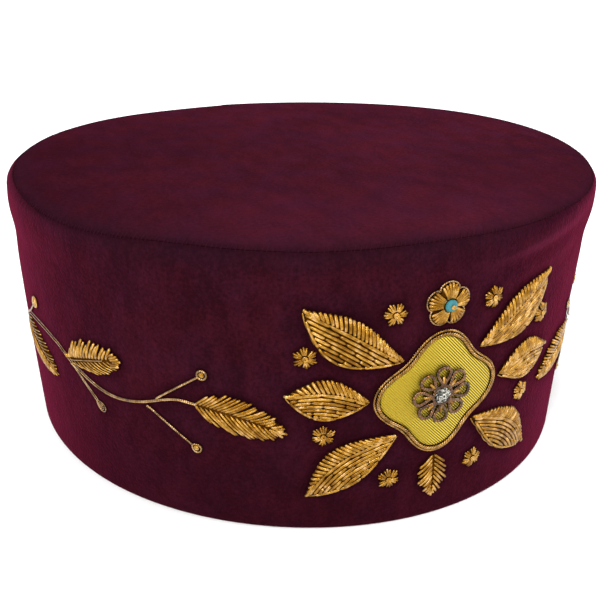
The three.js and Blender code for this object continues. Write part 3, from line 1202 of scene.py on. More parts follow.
    def panel(self) -> None:
        """Builds the top: rings from the middle out, over the rim to the seam and back underneath.

        A narrow seam allowance is turned down inside the band before the rings run back to the middle.
        The stitches across the seam belong to this piece.
        """
        angle = self.angles()
        start = self.seam(angle) + self.seam_gap
        inward = (self.wall.seam_radius - self.roll) * (1 - np.linspace(0, 1, 40)[1:-1, None] ** 0.8)
        rim = self.roll * np.pi / 2 - start
        away = np.concatenate([inward + rim, rim * np.array(self.rim_rows)[:, None]])
        radius, z = self.skin(angle, start + away, -self.sunk(away))
        inner = self.wall.radius(angle, self.panel_under) - self.thickness - self.clear
        under = np.linspace(1, 0, 12)[:-1, None] * (inner - self.allowance)
        tuck = self.panel_under + 0.5 * (z[-1:] - self.panel_under)
        low = np.full((2, self.columns), self.panel_under - self.allowance)
        flat = np.full_like(under, self.panel_under)
        turned_in = [0.5 * (radius[-1:] + inner), inner, inner, inner - 0.8 * self.allowance]
        radius = np.concatenate([radius, *turned_in, under])
        z = np.concatenate([z, tuck, flat[:1], low, flat])
        poles = np.array([[0, 0, self.panel_top], [0, 0, self.panel_under]])
        points = np.concatenate([on_cap(angle, radius, z).reshape(-1, 3), poles])
        upper_fan, lower_fan = end_fans(*radius.shape)
        quads = grid_quads(*radius.shape)
        split = (len(away) - 1) * self.columns
        seam = np.full(len(points), self.far)
        seam[: away.size] = away.ravel()
        seam[-2] = away.max()
        pile = Surface(points, quads[:split], upper_fan, {"seam": seam})
        layers = [
            (pile, self.finishes.top_velvet),
            (self.backing(pile, quads[split:], lower_fan), self.finishes.top_back),
            (self.sewing(), self.finishes.seam_thread),
        ]
        build_piece("velvet_top", layers, "top_panel")

    def sewing(self) -> Surface:
        """Overcast stitches: short threads that cross the seam, and sink into the pile here and there.

        Returns:
            The stitches, laid on the skin.
        """
        count = self.stitches
        angle = TURN * (np.arange(count) + self.chance.normal(0, 0.12, count)) / count - np.pi
        angle = np.clip(angle, -np.pi, np.pi)[:, None]
        reach = 1.7 + self.chance.normal(0, 0.3, count)[:, None]
        arc = np.array(self.stitch_arc)
        arc = np.where(arc < 0, arc, arc * reach)
        slow = np.sin(7 * angle + 1.0) + np.sin(12 * angle + 2.5) + np.sin(19 * angle)
        height = np.array(self.stitch_rise) + 0.06 * np.clip(slow, -2, 0.5)
        s = angle * self.wall.mean_radius + 0.3 * arc
        paths = np.stack([s, arc + self.seam(angle), height - self.sunk(np.abs(arc))], axis=-1)
        threads = tubes(paths, self.stitch_radius, 5, self.chance.random(count))
        s, arc, lift = threads.points.T
        angle = s / self.wall.mean_radius
        return threads.placed(on_cap(angle, *self.skin(angle, arc, lift)))

    @staticmethod
    def backing(pile: Surface, quads: Array, tris: Array = NO_TRIS) -> Surface:
        """The faces with ground cloth: they have no points of their own and use those of the pile.

        Args:
            pile: the layer just before this one.
            quads: four-sided faces.
            tris: three-sided faces.

        Returns:
            A surface without points.
        """
        return Surface(np.zeros((0, 3)), quads - len(pile.points), tris - len(pile.points))


@dataclass(frozen=True)
class LeafHalf:
    """One half of a leaf: its greatest width, how early that comes and how full the outline is."""

    width: float
    early: float = 1.1
    full: float = 1.0


@dataclass(frozen=True)
class LeafForm:
    """The flat outline of an embroidered leaf, drawn on the right-hand side and mirrored by its sign."""

    base: Point
    tip: Point
    bow: float
    sign: int
    left: LeafHalf
    right: LeafHalf
    least: float = 0.3

    def length(self) -> float:
        """Straight length from base to tip, in millimetres."""
        return math.dist(self.base, self.tip)

    def spread(self, t: Array, side: int = 1) -> Array:
        """Half width along the leaf: a power of the sine of a power of t.

        Args:
            t: share of the length from the base.
            side: +1 for the left half looking at the tip, -1 for the right one.

        Returns:
            The half width in millimetres.
        """
        half = self.left if side > 0 else self.right
        blade = np.clip(np.sin(np.pi * np.clip(t, 0, 1) ** half.early), 0, 1) ** half.full
        return self.least + (half.width - self.least) * blade

    def crown(self, t: Array) -> Array:
        """Share of the full padding height along the leaf, from 0 to 1."""
        return np.sqrt(np.clip(np.sin(np.pi * np.clip(t, 0, 1) ** 1.1), 0, 1))

    def at(self, t: Array, y: Array) -> Array:
        """Flat points at a share of the length and an offset to the left of the bowed middle line.

        Args:
            t: share of the length from the base.
            y: offset in millimetres, to the left looking at the tip.

        Returns:
            Flat points (s, z).
        """
        base = np.array(self.base)
        along = np.array(self.tip) - base
        offset = y + 4 * self.bow * t * (1 - t)
        flat = base + along * t[..., None] + left_of(unit(along)) * offset[..., None]
        return flat * np.array([self.sign, 1.0])


@dataclass(frozen=True)
class Feathering:
    """How strands lie on one half of a leaf: their fan in degrees, their size, where they begin and end,
    how far they keep from the midrib, how ragged their ends are and how bright they are at least."""

    base_angle: float
    tip_angle: float
    radius: float
    pitch: float
    first: float = 0.0
    last: float = 0.9
    groove: float = 0.3
    ragged: float = 1.0
    shine: float = 0.1


@dataclass
class Goldwork:
    """The ways of laying wire that every embroidered piece uses. Heights are counted from just above
    the velvet, where the embroidery's flat underside lies."""

    wall: Wall
    finishes: Finishes
    chance: np.random.Generator
    clear: float = 0.1
    steps: Triple = (0.4, 0.05, -0.45)
    shortest: float = 1.3
    past_tip: float = 1.03
    marks: list[Array] = field(default_factory=list)

    def tones(self, count: int) -> Array:
        """Random light or dark shares of some strands."""
        return self.chance.uniform(0.1, 1.0, count)

    def dress(self, name: str, layers: Sequence[Layer], node: str, slot: str = "gold_bullion") -> None:
        """Wraps flat layers on the band and makes them one piece.

        Args:
            name: name of the piece.
            layers: flat surfaces, each with its material.
            node: the solid that the piece replaces.
            slot: the record's material slot; not used.
        """
        for surface, _ in layers:
            self.marks.append(surface.points[surface.quads, :2].mean(axis=1))
        wrapped = [(self.wall.wrap(surface, self.clear), material) for surface, material in layers]
        build_piece(name, wrapped, node)

    def pressed(self) -> Array:
        """Which millimetre cells of the flattened band the embroidery covers; the velvet paints shade round
        them.

        Returns:
            0 or 1 for each cell along and up the band.
        """
        marks = np.concatenate(self.marks)
        cells = (np.arange(-160.0, 161.0), np.arange(0.0, 86.0))
        return (np.histogram2d(marks[:, 0], marks[:, 1], bins=cells)[0] > 0).astype(float)

    def pad(self, form: LeafForm, share: float, height: float) -> Surface:
        """Padding under a leaf: an oval profile, flat below, carried along the bowed middle line.

        Args:
            form: the leaf's outline.
            share: share of the outline's width that the padding fills.
            height: height of the padding at the middle.

        Returns:
            The padding as a flat surface.
        """
        sides = 16
        foot = 0.12
        t = np.linspace(0.02, 0.97, 24)
        cos, sin = rays(even_turns(sides) - 0.5 * np.pi).T
        halves = form.spread(t, -1)[:, None], form.spread(t)[:, None]
        wide = share * np.where(cos * form.sign > 0, *halves)
        tall = np.where(sin > 0, (height * form.crown(t) + 0.1)[:, None], foot)
        radii = 1 / np.sqrt((cos / wide) ** 2 + (sin / tall) ** 2)
        return tubes(lifted(form.at(t, 0 * t), foot)[None], radii[None], sides)

    def feathers(self, form: LeafForm, side: int, lay: Feathering, height: float) -> Surface:
        """Slanted strands on one half of a leaf, from the midrib to the ragged edge.

        The strands fan from one angle at the base to another at the tip, with roots spaced so that
        they lie side by side. Each stops where it meets the outline, in steps of three that run a
        little past it or fall short.

        Args:
            form: the leaf's outline.
            side: +1 for the left half looking at the tip, -1 for the right one.
            lay: how the strands lie.
            height: padding height at the middle.

        Returns:
            The strands as a flat surface.
        """
        length = form.length()
        fine = np.linspace(lay.first, lay.last, 200)
        fan = np.radians(np.interp(fine, [0, 1], [lay.base_angle, lay.tip_angle]))
        room = np.concatenate([[0.0], np.cumsum(np.sin(fan[:-1]) * np.diff(fine) * length)])
        count = max(4, round(room[-1] / lay.pitch))
        root = np.interp(np.linspace(0, room[-1], count), room, fine)
        lean = np.interp(root, fine, fan) + self.chance.normal(0, 0.02 * lay.ragged, count)
        cos, sin = rays(lean).T
        groove = np.interp(root, [0, 1], [lay.groove, min(lay.groove, 0.3)])
        trial = np.linspace(0.4, 0.75 * length, 160)
        ahead = root[:, None] + trial * cos[:, None] / length
        beyond = groove[:, None] + trial * sin[:, None] >= form.spread(ahead, side)
        stop = np.where(beyond.any(axis=1), trial[beyond.argmax(axis=1)], trial[-1])
        step = np.resize(self.steps, count) + self.chance.normal(0, 0.22, count)
        stop = np.maximum(stop + lay.ragged * step, self.shortest)
        far = np.minimum(root + stop * cos / length, self.past_tip)
        starts = form.at(root, side * groove)
        ends = form.at(far, side * (groove + stop * sin))
        inner = lay.radius + 0.45 * height * form.crown(root)
        outer = lay.radius + 0.08 + 0.16 * self.chance.random(count)
        arch = 0.62 * height * form.crown(0.5 * (root + far))
        tones = np.maximum(self.tones(count), lay.shine)
        return strands(starts, ends, lay.radius, np.stack([inner, outer], axis=-1), arch, tones)

    def wire(self, flat: Array, radius: Any, height: Any, rings: int, tone: float = 0.7) -> Surface:
        """One long wire laid along a flat path.

        Args:
            flat: flat points of the path.
            radius: radius of the wire, one number or one for each ring.
            height: height of its axis, one number or one for each point.
            rings: number of rings along it.
            tone: light or dark share.

        Returns:
            The wire as a flat surface.
        """
        path = evenly(lifted(flat, height), rings)
        return tubes(path[None], np.broadcast_to(radius, (rings,))[None, :, None], WIRE_SIDES, tone)

    def rope(self, flat: Array, radius: float, height: float, lay: float, rings: int) -> Surface:
        """A three-ply rope: a three-lobed profile that turns once in each lay length.

        Args:
            flat: flat points of the path.
            radius: outer radius of the rope.
            height: height of its axis.
            lay: length of one full turn in millimetres.
            rings: number of rings along it.

        Returns:
            The rope as a flat surface.
        """
        sides = 12
        path = evenly(lifted(flat, height), rings)
        along = np.linspace(0, lengths(path)[-1], rings)[:, None]
        turn = even_turns(sides)
        lobes = np.abs(np.cos(1.5 * (turn - TURN * along / lay)))
        surface = tubes(path[None], (radius * (0.58 + 0.42 * lobes))[None], sides, 0.6)
        # Crest is low between the plies and underneath, where the wire finish paints shade.
        crest = np.append(lobes * (0.5 + 0.5 * np.sin(turn - 0.5 * np.pi)), END_CREST)
        surface.values["crest"] = np.clip(1.35 * crest, 0, 1)
        return surface


@dataclass
class Embroidery:
    """A part of the embroidery, and the goldwork that lays it."""

    work: Goldwork

    @property
    def finishes(self) -> Finishes:
        """Every material of the cap."""
        return self.work.finishes


@dataclass
class SprayLeaf(Embroidery):
    """A spray leaf: padding, and slanted strands on both sides of a dark midrib groove."""

    form: LeafForm
    upper: Feathering
    lower: Feathering
    height: float = 1.0
    tips: int = 3
    tip_half: float = 0.5
    midrib: bool = False

    def layers(self) -> list[Layer]:
        """Lays the padding and the strands, and a pale wire along the midrib where the leaf has one.

        Returns:
            Flat surfaces with their materials.
        """
        halves = ((-1, self.upper), (1, self.lower))
        laid = [self.work.feathers(self.form, side, lay, self.height) for side, lay in halves]
        laid.append(self.tip_strands())
        done = [(self.work.pad(self.form, 0.74, 0.8 * self.height), self.finishes.padding)]
        done.append((Surface.join(laid), self.finishes.bullion))
        if self.midrib:
            t = np.linspace(0.02, 0.74, 20)
            lift = 0.3 + 0.9 * self.height * self.form.crown(t)
            rib = self.work.wire(self.form.at(t, 0 * t + 0.05), 0.15, lift, 24, 1.0)
            done.append((rib, self.finishes.wire))
        return done

    def tip_strands(self) -> Surface:
        """Short strands side by side that close the tip of the leaf, the middle ones longest.

        Returns:
            The strands as a flat surface.
        """
        radius = self.upper.radius
        aside = np.linspace(-1, 1, self.tips)
        reach = self.work.past_tip - 0.05 * aside**2 + self.work.chance.normal(0, 0.008, self.tips)
        starts = self.form.at(reach - 0.13, 0.85 * self.tip_half * aside)
        ends = self.form.at(reach, self.tip_half * aside)
        heights = (radius + 0.5 * self.height, radius + 0.15)
        return strands(starts, ends, radius, heights, 0.12, self.work.tones(self.tips))


@dataclass
class CrestLeaf(Embroidery):
    """A crest leaf: lengthwise rows laid like bricks, a slanted border above and a scalloped wire below."""

    form: LeafForm
    strand: float = 0.54
    height: float = 1.0
    brick: float = 9.0
    joint: float = 0.08
    border: float = 0.6
    slant: float = 2.3
    scallop_length: float = 4.2

    def dome(self, t: Array, y: Array) -> Array:
        """Padding height: the crown along the leaf, falling with the square of the offset."""
        share = np.clip(np.abs(y) / self.form.spread(t), 0, 1)
        return self.height * self.form.crown(t) * (1 - 0.55 * share**2)

    def rows(self) -> Surface:
        """Lengthwise rows: each runs at an even distance under the border and stops at the lower edge.

        Returns:
            The strands as a flat surface.
        """
        length = self.form.length()
        pitch = 2.12 * self.strand
        t = np.linspace(0.03, 0.98, 240)
        low = -self.form.spread(t) + 1.2 * self.strand
        high = self.form.spread(t) * (1 - self.border) - 0.6 * self.strand
        begins, ends, drops = [], [], []
        for number in range(math.ceil((high - low).max() / pitch)):
            free = t[high - number * pitch >= low]
            if len(free) < 12:
                continue
            first, last = free[0], free[-1]
            shift = (0.35 + 0.5 * (number % 2)) * self.brick / length + self.work.chance.normal(0, 0.012)
            joints = np.arange(first + shift, last - 0.05, self.brick / length)
            stops = np.concatenate([[first], joints, [last]])
            begins.append(stops[:-1])
            ends.append(stops[1:])
            drops.append(np.full(len(stops) - 1, number * pitch))
        begin, end, drop = (np.concatenate(part) for part in (begins, ends, drops))
        middle = 0.5 * (begin + end)
        near_y, middle_y, far_y = (np.interp(part, t, high) - drop for part in (begin, middle, end))
        near, far = self.dome(begin, near_y), self.dome(end, far_y)
        arch = self.dome(middle, 0.5 * (near_y + far_y)) - 0.5 * (near + far) + 0.1
        heights = np.stack([near, far], axis=-1) + self.strand - 0.06
        starts = self.form.at(begin + self.joint / length, near_y)
        stops = self.form.at(end - self.joint / length, far_y)
        bend = self.form.at(middle, middle_y) - 0.5 * (starts + stops)
        return strands(starts, stops, self.strand, heights, arch, self.work.tones(len(drop)), bend)

    def edging(self) -> Surface:
        """Border strands along the upper edge: each leans forward from the rows to the outline.

        Returns:
            The strands as a flat surface.
        """
        length = self.form.length()
        count = round(length / (2.3 * self.strand))
        t = np.linspace(0.0, 0.94, count)
        inner = np.maximum(self.form.spread(t) * (1 - self.border), 0.1) + 0.3
        far = np.minimum(t + self.slant / length, 1.02)
        outer = self.form.spread(far) + 0.25 + self.work.chance.normal(0, 0.08, count)
        heights = self.strand + np.stack([0.2 + self.dome(t, inner), np.full(count, 0.1)], axis=-1)
        starts, ends = self.form.at(t, inner), self.form.at(far, outer)
        return strands(starts, ends, self.strand, heights, 0.35, self.work.tones(count))

    def lower_row(self) -> Surface:
        """One row of strands end to end along the lower edge, over the ends of the other rows.

        Returns:
            The strands as a flat surface.
        """
        length = self.form.length()
        stops = np.linspace(0.06, 0.94, round(length / self.brick) + 2)
        begin, end = stops[:-1] + self.joint / length, stops[1:] - self.joint / length
        t = np.stack([begin, 0.5 * (begin + end), end])
        y = 0.45 * self.strand - self.form.spread(t)
        near, middle, far = self.form.at(t, y)
        lift = self.strand + self.dome(t, y)
        arch = lift[1] - 0.5 * (lift[0] + lift[2]) + 0.05
        bend = middle - 0.5 * (near + far)
        tones = self.work.tones(len(begin))
        return strands(near, far, 0.85 * self.strand, lift[[0, 2]].T, arch, tones, bend)

    def scallop(self) -> Surface:
        """A thin wire under the lower edge, in small scallops of |sin|.

        Returns:
            The wire as a flat surface.
        """
        t = np.linspace(0.0, 1.0, 160)
        arcs = 0.3 * np.abs(np.sin(np.pi * t * round(self.form.length() / self.scallop_length)))
        return self.work.wire(self.form.at(t, -self.form.spread(t) - 0.05 - arcs), 0.25, 0.25, 120)

    def seam_wire(self) -> Surface:
        """A thin wire between the rows and the border.

        Returns:
            The wire as a flat surface.
        """
        t = np.linspace(0.06, 0.93, 60)
        y = self.form.spread(t) * (1 - self.border) + 0.05
        return self.work.wire(self.form.at(t, y), 0.27, 2 * self.strand + self.dome(t, y) - 0.1, 60)

    def layers(self) -> list[Layer]:
        """Lays padding, rows, border and wires.

        Returns:
            Flat surfaces with their materials.
        """
        parts = (self.rows, self.edging, self.lower_row, self.scallop, self.seam_wire)
        return [
            (self.work.pad(self.form, 0.92, self.height), self.finishes.padding),
            (Surface.join([part() for part in parts]), self.finishes.bullion),
        ]


@dataclass
class Medallion(Embroidery):
    """The middle of the crest: ribbed cloth in a rope edging, with a dark purl rosette.

    Each rope has its offset from the cloth's outline, radius, height, lay length and number of rings.
    """

    centre: Point = (0.0, 42.0)
    radius: float = 15.0
    lobe: float = 2.0
    height: float = 1.1
    brim: float = 0.9
    ropes: tuple[tuple[float, float, float, float, int], ...] = (
        (0.78, 0.52, 0.68, 2.3, 860), (1.72, 0.36, 0.4, 2.0, 1000),
    )
    petals: int = 8
    rosette: float = 8.3
    heart: float = 2.6
    chip_count: int = 26
    golden_turn: float = 2.39996

    def reach(self, angle: Array, extra: float) -> Array:
        """Outline radius: a circle with four soft lobes, plus an offset."""
        return self.radius + self.lobe * np.cos(4 * angle) + extra

    def build(self) -> None:
        """Builds the cloth, its edging and the rosette."""
        angle = even_turns(180)
        inner = np.linspace(0.06, self.brim, 12)
        rim = np.linspace(0, np.pi / 2, 7)[1:]
        shares = np.concatenate([inner, self.brim + (1 - self.brim) * np.sin(rim), [1.0, 0.5, 0.1]])
        dome = 0.85 + 0.15 * (1 - (inner / self.brim) ** 2)
        edge = 0.85 * (0.25 + 0.75 * np.cos(rim))
        heights = self.height * np.concatenate([dome, edge, np.zeros(3)])
        cloth = disc(self.centre, self.reach(angle, 0.2), shares, heights)
        layers = [(cloth, self.finishes.cloth)]
        self.work.dress("medallion_ribbed_cloth", layers, "medallion_cloth", "gold_cloth")
        self.edging(angle)
        self.flower()

    def edging(self, angle: Array) -> None:
        """Builds the edging: two ropes side by side, laid clockwise from straight down.

        Args:
            angle: even angles round the medallion.
        """
        layers = []
        for extra, *rope in self.ropes:
            flat = closed_outline(self.centre, self.reach(angle + np.pi, extra))
            flat[:, 1] = 2 * self.centre[1] - flat[:, 1]
            layers.append((self.work.rope(flat, *rope), self.finishes.rope))
        self.work.dress("medallion_rope", layers, "medallion_cord")

    def flower(self) -> None:
        """Builds the rosette: eight purl petals, gold strands in them and a heart of small chips."""
        base = self.height + 0.25
        aims = even_turns(self.petals)
        f = np.linspace(0.02, 0.98, 30)
        out = self.heart + (self.rosette - self.heart) * np.sin(np.pi * f)
        wide = 0.36 * np.sin(TURN * f) * (1 - 0.25 * np.sin(np.pi * f))
        loops = [
            self.work.wire(round_about(self.centre, out, aim - wide), 0.52, base + 0.4, 36, tone)
            for aim, tone in zip(aims, self.work.chance.uniform(0.2, 0.9, self.petals))
        ]
        starts, ends = (round_about(self.centre, reach, aims) for reach in (3.0, 5.6))
        gold = strands(starts, ends, 0.45, (base + 0.3, base + 0.3), 0.15, self.work.tones(self.petals))
        ring = self.centre + 2.75 * rays(np.linspace(0, TURN, 60))[:, ::-1]
        layers = [
            (Surface.join(loops), self.finishes.purl),
            (gold, self.finishes.bullion),
            (self.chips(base), self.finishes.chip),
            (self.work.rope(ring, 0.5, base + 0.5, 1.6, 130), self.finishes.purl),
        ]
        self.work.dress("rosette_purl", layers, "medallion_rosette", "dark_purl")

    def chips(self, base: float) -> Surface:
        """Short chips heaped in the heart: centres on a sunflower spiral, each turned its own way.

        Args:
            base: height of the cloth under them.

        Returns:
            The chips as a flat surface.
        """
        number = np.arange(self.chip_count) + 0.5
        away = 2.3 * np.sqrt(number / self.chip_count)
        middle = self.centre + away[:, None] * rays(number * self.golden_turn)
        half = 0.62 * rays(self.work.chance.uniform(0, np.pi, self.chip_count))
        rise = base + 0.35 + 0.5 * (1 - (away / 2.4) ** 2)
        rise = rise + self.work.chance.uniform(0, 0.15, self.chip_count)
        heights = np.stack([rise, rise], axis=-1)
        tones = self.work.chance.random(self.chip_count)
        return strands(middle - half, middle + half, 0.3, heights, 0.12, tones)


@dataclass
class CrestFlowers(Embroidery):
    """The large flower over the medallion and the small blossoms round it."""

    centre: Point = (0.0, 68.4)
    radius: float = 5.0
    lobe: float = 0.9
    eye: float = 1.7
    blossom: float = 3.1
    places: tuple[Point, ...] = ((14.5, 67.5), (37.0, 56.5), (32.0, 32.5), (13.5, 16.5))

    def reach(self, angle: Array) -> Array:
        """Outline of five round petals with sharp gaps: a wave of twice the root of |cos 5a/2|, less 1."""
        return self.radius + self.lobe * (2 * np.sqrt(np.abs(np.cos(2.5 * angle))) - 1)

    def large(self) -> None:
        """Builds five petals of fanned strands with a thin wire round them, and the silk eye."""
        outline = self.reach(even_turns(150))
        shares = (0.2, 0.5, 0.75, 0.9, 0.9, 0.4)
        pad = disc(self.centre, outline, shares, (1.0, 0.95, 0.75, 0.3, 0.05, 0.05))
        aim = (even_turns(5)[:, None] + np.linspace(-0.42, 0.42, 6)).ravel()
        far = self.reach(aim) + 0.1 + self.work.chance.normal(0, 0.1, aim.size)
        starts = round_about(self.centre, self.eye + 0.1, aim)
        ends = round_about(self.centre, far, aim)
        petals = strands(starts, ends, 0.42, (1.35, 0.65), 0.35, self.work.tones(aim.size))
        rim = self.work.wire(closed_outline(self.centre, outline + 0.35), 0.3, 0.3, 150)
        layers = [
            (pad, self.finishes.padding),
            (petals, self.finishes.bullion),
            (rim, self.finishes.wire),
        ]
        self.work.dress("crest_flower_petals", layers, "crest_flower")
        self.silk_eye()

    def silk_eye(self) -> None:
        """Builds the eye: a small dome of radial silk stitches with a gold knot on it."""
        turn = np.linspace(0.1, np.pi / 2, 8)
        heights = 1.7 + np.append(np.cos(turn) + 0.1, [0.0, 0.0])
        dome = disc(self.centre, np.full(72, self.eye), np.append(np.sin(turn), [1.0, 0.3]), heights)
        dome.values["along"] = dome.values["along"] * self.eye
        coil = spiral(self.centre, 0.14, 0.034, np.linspace(0, 2.1 * TURN, 40))
        knot = self.work.wire(coil, 0.18, 2.9, 48, 0.9)
        layers = [(dome, self.finishes.silk), (knot, self.finishes.bullion)]
        self.work.dress("crest_flower_silk_eye", layers, "crest_flower_eye", "teal_silk")

    def small(self) -> None:
        """Builds the blossoms: six petals of three fanned strands, and a coiled knot in the middle."""
        places = [(sign * s, z) for _, sign in SIDES for s, z in self.places]
        for number, place in enumerate(places, start=1):
            spin = self.work.chance.uniform(0, TURN) + self.work.chance.normal(0, 0.05, (6, 1))
            ray = rays((spin + even_turns(6)[:, None] + np.array([-0.27, 0.0, 0.27])).ravel())
            far = self.blossom + np.tile([-0.2, 0.15, -0.2], 6)
            far = far + self.work.chance.normal(0, 0.08, len(ray))
            starts, ends = place + 0.8 * ray, place + far[:, None] * ray
            petals = strands(starts, ends, 0.33, (0.9, 0.42), 0.25, self.work.tones(len(ray)))
            coil = spiral(place, 0.2, 0.045, np.linspace(0, 2 * TURN, 36))
            pad = disc(place, np.full(30, 2.3), (0.3, 0.8, 1.0, 0.4), (0.55, 0.4, 0.1, 0.05))
            gold = Surface.join([petals, self.work.wire(coil, 0.24, 1.3, 40, 1.0)])
            layers = [(pad, self.finishes.padding), (gold, self.finishes.bullion)]
            self.work.dress(f"blossom_{number}", layers, f"crest_blossom_{number}")


class Berry(Enum):
    """How the wire at the end of a twig is laid."""

    RING = "a ring round a bright knot"
    DROP = "a single pointed loop round a bright knot"
    SKEIN = "a long loop of several thin wires"
    BUD = "a full bud of close loops"


@dataclass(frozen=True)
class Loop:
    """One loop of a berry: half its length, half its width, its wire's radius and its height."""

    long: float
    wide: float
    thick: float
    lift: float


LOOPS = {
    Berry.RING: (Loop(1.28, 1.28, 0.36, 0.36),),
    Berry.DROP: (Loop(1.4, 1.2, 0.3, 0.36),),
    Berry.SKEIN: (Loop(1.95, 1.3, 0.17, 0.26), Loop(1.25, 0.72, 0.14, 0.34), Loop(0.6, 0.2, 0.12, 0.38)),
    Berry.BUD: (Loop(2.0, 1.5, 0.34, 0.36), Loop(1.3, 0.85, 0.33, 0.5), Loop(0.6, 0.2, 0.32, 0.6)),
}


@dataclass(frozen=True)
class Twig:
    """One twig: where it leaves the stem, its berry, its bow, and how many lengths and wires it has."""

    start: Point
    berry: Point
    bow: float
    kind: Berry
    lengths: int = 1
    wires: int = 1
    thick: float = 0.32


@dataclass
class Spray(Embroidery):
    """One side spray: its stem and twigs, three leaves and four berries."""

    side: str
    sign: int
    stem_stops: tuple[Point, ...] = (
        (66.0, 39.5), (67.9, 39.8), (72.0, 40.1), (76.2, 39.1), (79.8, 37.8), (84.0, 36.4), (89.7, 35.3),
        (95.0, 35.2), (100.4, 36.2), (106.7, 38.4), (112.5, 40.8), (117.6, 43.6), (121.8, 44.9),
        (126.6, 45.8), (132.7, 46.1), (139.3, 45.6), (143.6, 44.6), (146.2, 43.0),
    )
    stem_shares: tuple[float, ...] = (0.0, 0.3, 0.42, 0.57, 0.8, 1.0)
    stem_gaps: tuple[float, ...] = (0.18, 0.21, 0.38, 0.46, 0.62, 0.62)
    stem_radii: tuple[float, ...] = (0.24, 0.24, 0.17, 0.15, 0.15, 0.15)
    stem_lift: float = 0.22
    twigs: tuple[Twig, ...] = (
        Twig((78.2, 39.2), (64.1, 49.2), -0.1, Berry.RING, lengths=3, thick=0.37),
        Twig((81.8, 36.3), (67.1, 25.3), -0.1, Berry.DROP),
        Twig((112.0, 40.2), (99.8, 29.7), -0.2, Berry.SKEIN, wires=2, thick=0.14),
        Twig((142.2, 45.2), (132.3, 52.4), 0.2, Berry.BUD, thick=0.28),
    )
    berry_radius: float = 1.7

    def mirrored(self, flat: Array) -> Array:
        """Flat points on this spray's own side."""
        return flat * np.array([self.sign, 1.0])

    def leaves(self) -> list[SprayLeaf]:
        """The three leaves, from the crest outward.

        Returns:
            The leaves, on this spray's own side.
        """
        first = LeafForm(
            (66.3, 39.8), (42.2, 33.4), -1.0, self.sign, LeafHalf(5.7, 1.0, 0.6), LeafHalf(5.3, 0.8, 0.65)
        )
        second = LeafForm(
            (111.6, 41.1), (90.0, 48.0), -0.35, self.sign,
            LeafHalf(4.6, 1.35, 0.65), LeafHalf(5.8, 0.8, 0.6),
        )
        third = LeafForm(
            (146.3, 42.7), (122.0, 32.2), 0.3, self.sign, LeafHalf(5.5, 1.1, 0.65), LeafHalf(5.2, 1.0, 0.7)
        )
        return [
            SprayLeaf(
                self.work, first, Feathering(52, 24, 0.41, 0.7, ragged=1.3), Feathering(35, 26, 0.41, 0.72)
            ),
            # The second leaf's high shine lightens its darkest strands: painted light, as this leaf
            # reflects a dim part of the studio.
            SprayLeaf(
                self.work, second,
                Feathering(58, 46, 0.48, 0.98, first=-0.06, last=0.82, groove=0.95, ragged=1.9, shine=0.95),
                Feathering(36, 30, 0.21, 0.92, first=0.02, last=0.8, shine=1.0),
                height=0.9, tips=6, tip_half=1.9, midrib=True,
            ),
            SprayLeaf(
                self.work, third,
                Feathering(34, 22, 0.19, 0.84, shine=0.4), Feathering(25, 16, 0.27, 0.68), height=0.9,
            ),
        ]

    def stem(self) -> None:
        """Builds the stem as a wire doubled back on itself, with its twigs, all couched on the velvet."""
        points, rings = 160, 170
        curve = smooth_route(self.stem_stops, points)
        ahead = unit(np.gradient(curve, axis=0))
        beside = left_of(ahead)
        gap = np.interp(np.linspace(0, 1, points), self.stem_shares, self.stem_gaps)[:, None]
        thick = np.interp(np.linspace(0, 1, rings), self.stem_shares, self.stem_radii)
        turn = np.linspace(0, np.pi, 24)[:, None]
        loop = curve[-1] + gap[-1] * (np.cos(turn) * beside[-1] + 2 * np.sin(turn) * ahead[-1])
        wires = [
            self.work.wire(self.mirrored(curve + gap * beside), thick, self.stem_lift, rings, 0.6),
            self.work.wire(self.mirrored(curve - gap * beside), thick, self.stem_lift, rings, 1.0),
            self.work.wire(self.mirrored(loop), self.stem_radii[-1], self.stem_lift, len(turn), 0.8),
        ]
        for twig in self.twigs:
            wires.extend(self.twig(twig))
        layers = [(Surface.join(wires), self.finishes.wire)]
        self.work.dress(f"spray_{self.side}_wires", layers, f"spray_{self.side}_stem")

    def twig(self, twig: Twig) -> list[Surface]:
        """One twig: a straight run with a parabolic bow to its left, ending at the berry's edge.

        Args:
            twig: where it goes, in how many lengths end to end and of how many wires side by side.

        Returns:
            Its lengths of wire.
        """
        start = np.array(twig.start)
        along = np.array(twig.berry) - start
        reach = np.linalg.norm(along)
        stop = (reach - self.berry_radius + 0.4) / reach
        laid = []
        for number in range(twig.lengths):
            t = (number + np.linspace(0.02, 0.98, 30)) / twig.lengths
            for beside in np.linspace(-0.42, 0.42, twig.wires) if twig.wires > 1 else [0.0]:
                aside = 4 * twig.bow * t * (1 - t) + beside * (0.4 + 0.6 * t)
                flat = start + along * (t * stop)[:, None] + left_of(along) / reach * aside[:, None]
                lift = 0.02 + twig.thick + 0.3 * bell(t, 0.0, 0.08)
                tone = self.work.chance.uniform(0.6, 1.0)
                laid.append(self.work.wire(self.mirrored(flat), twig.thick, lift, len(t), tone))
        return laid

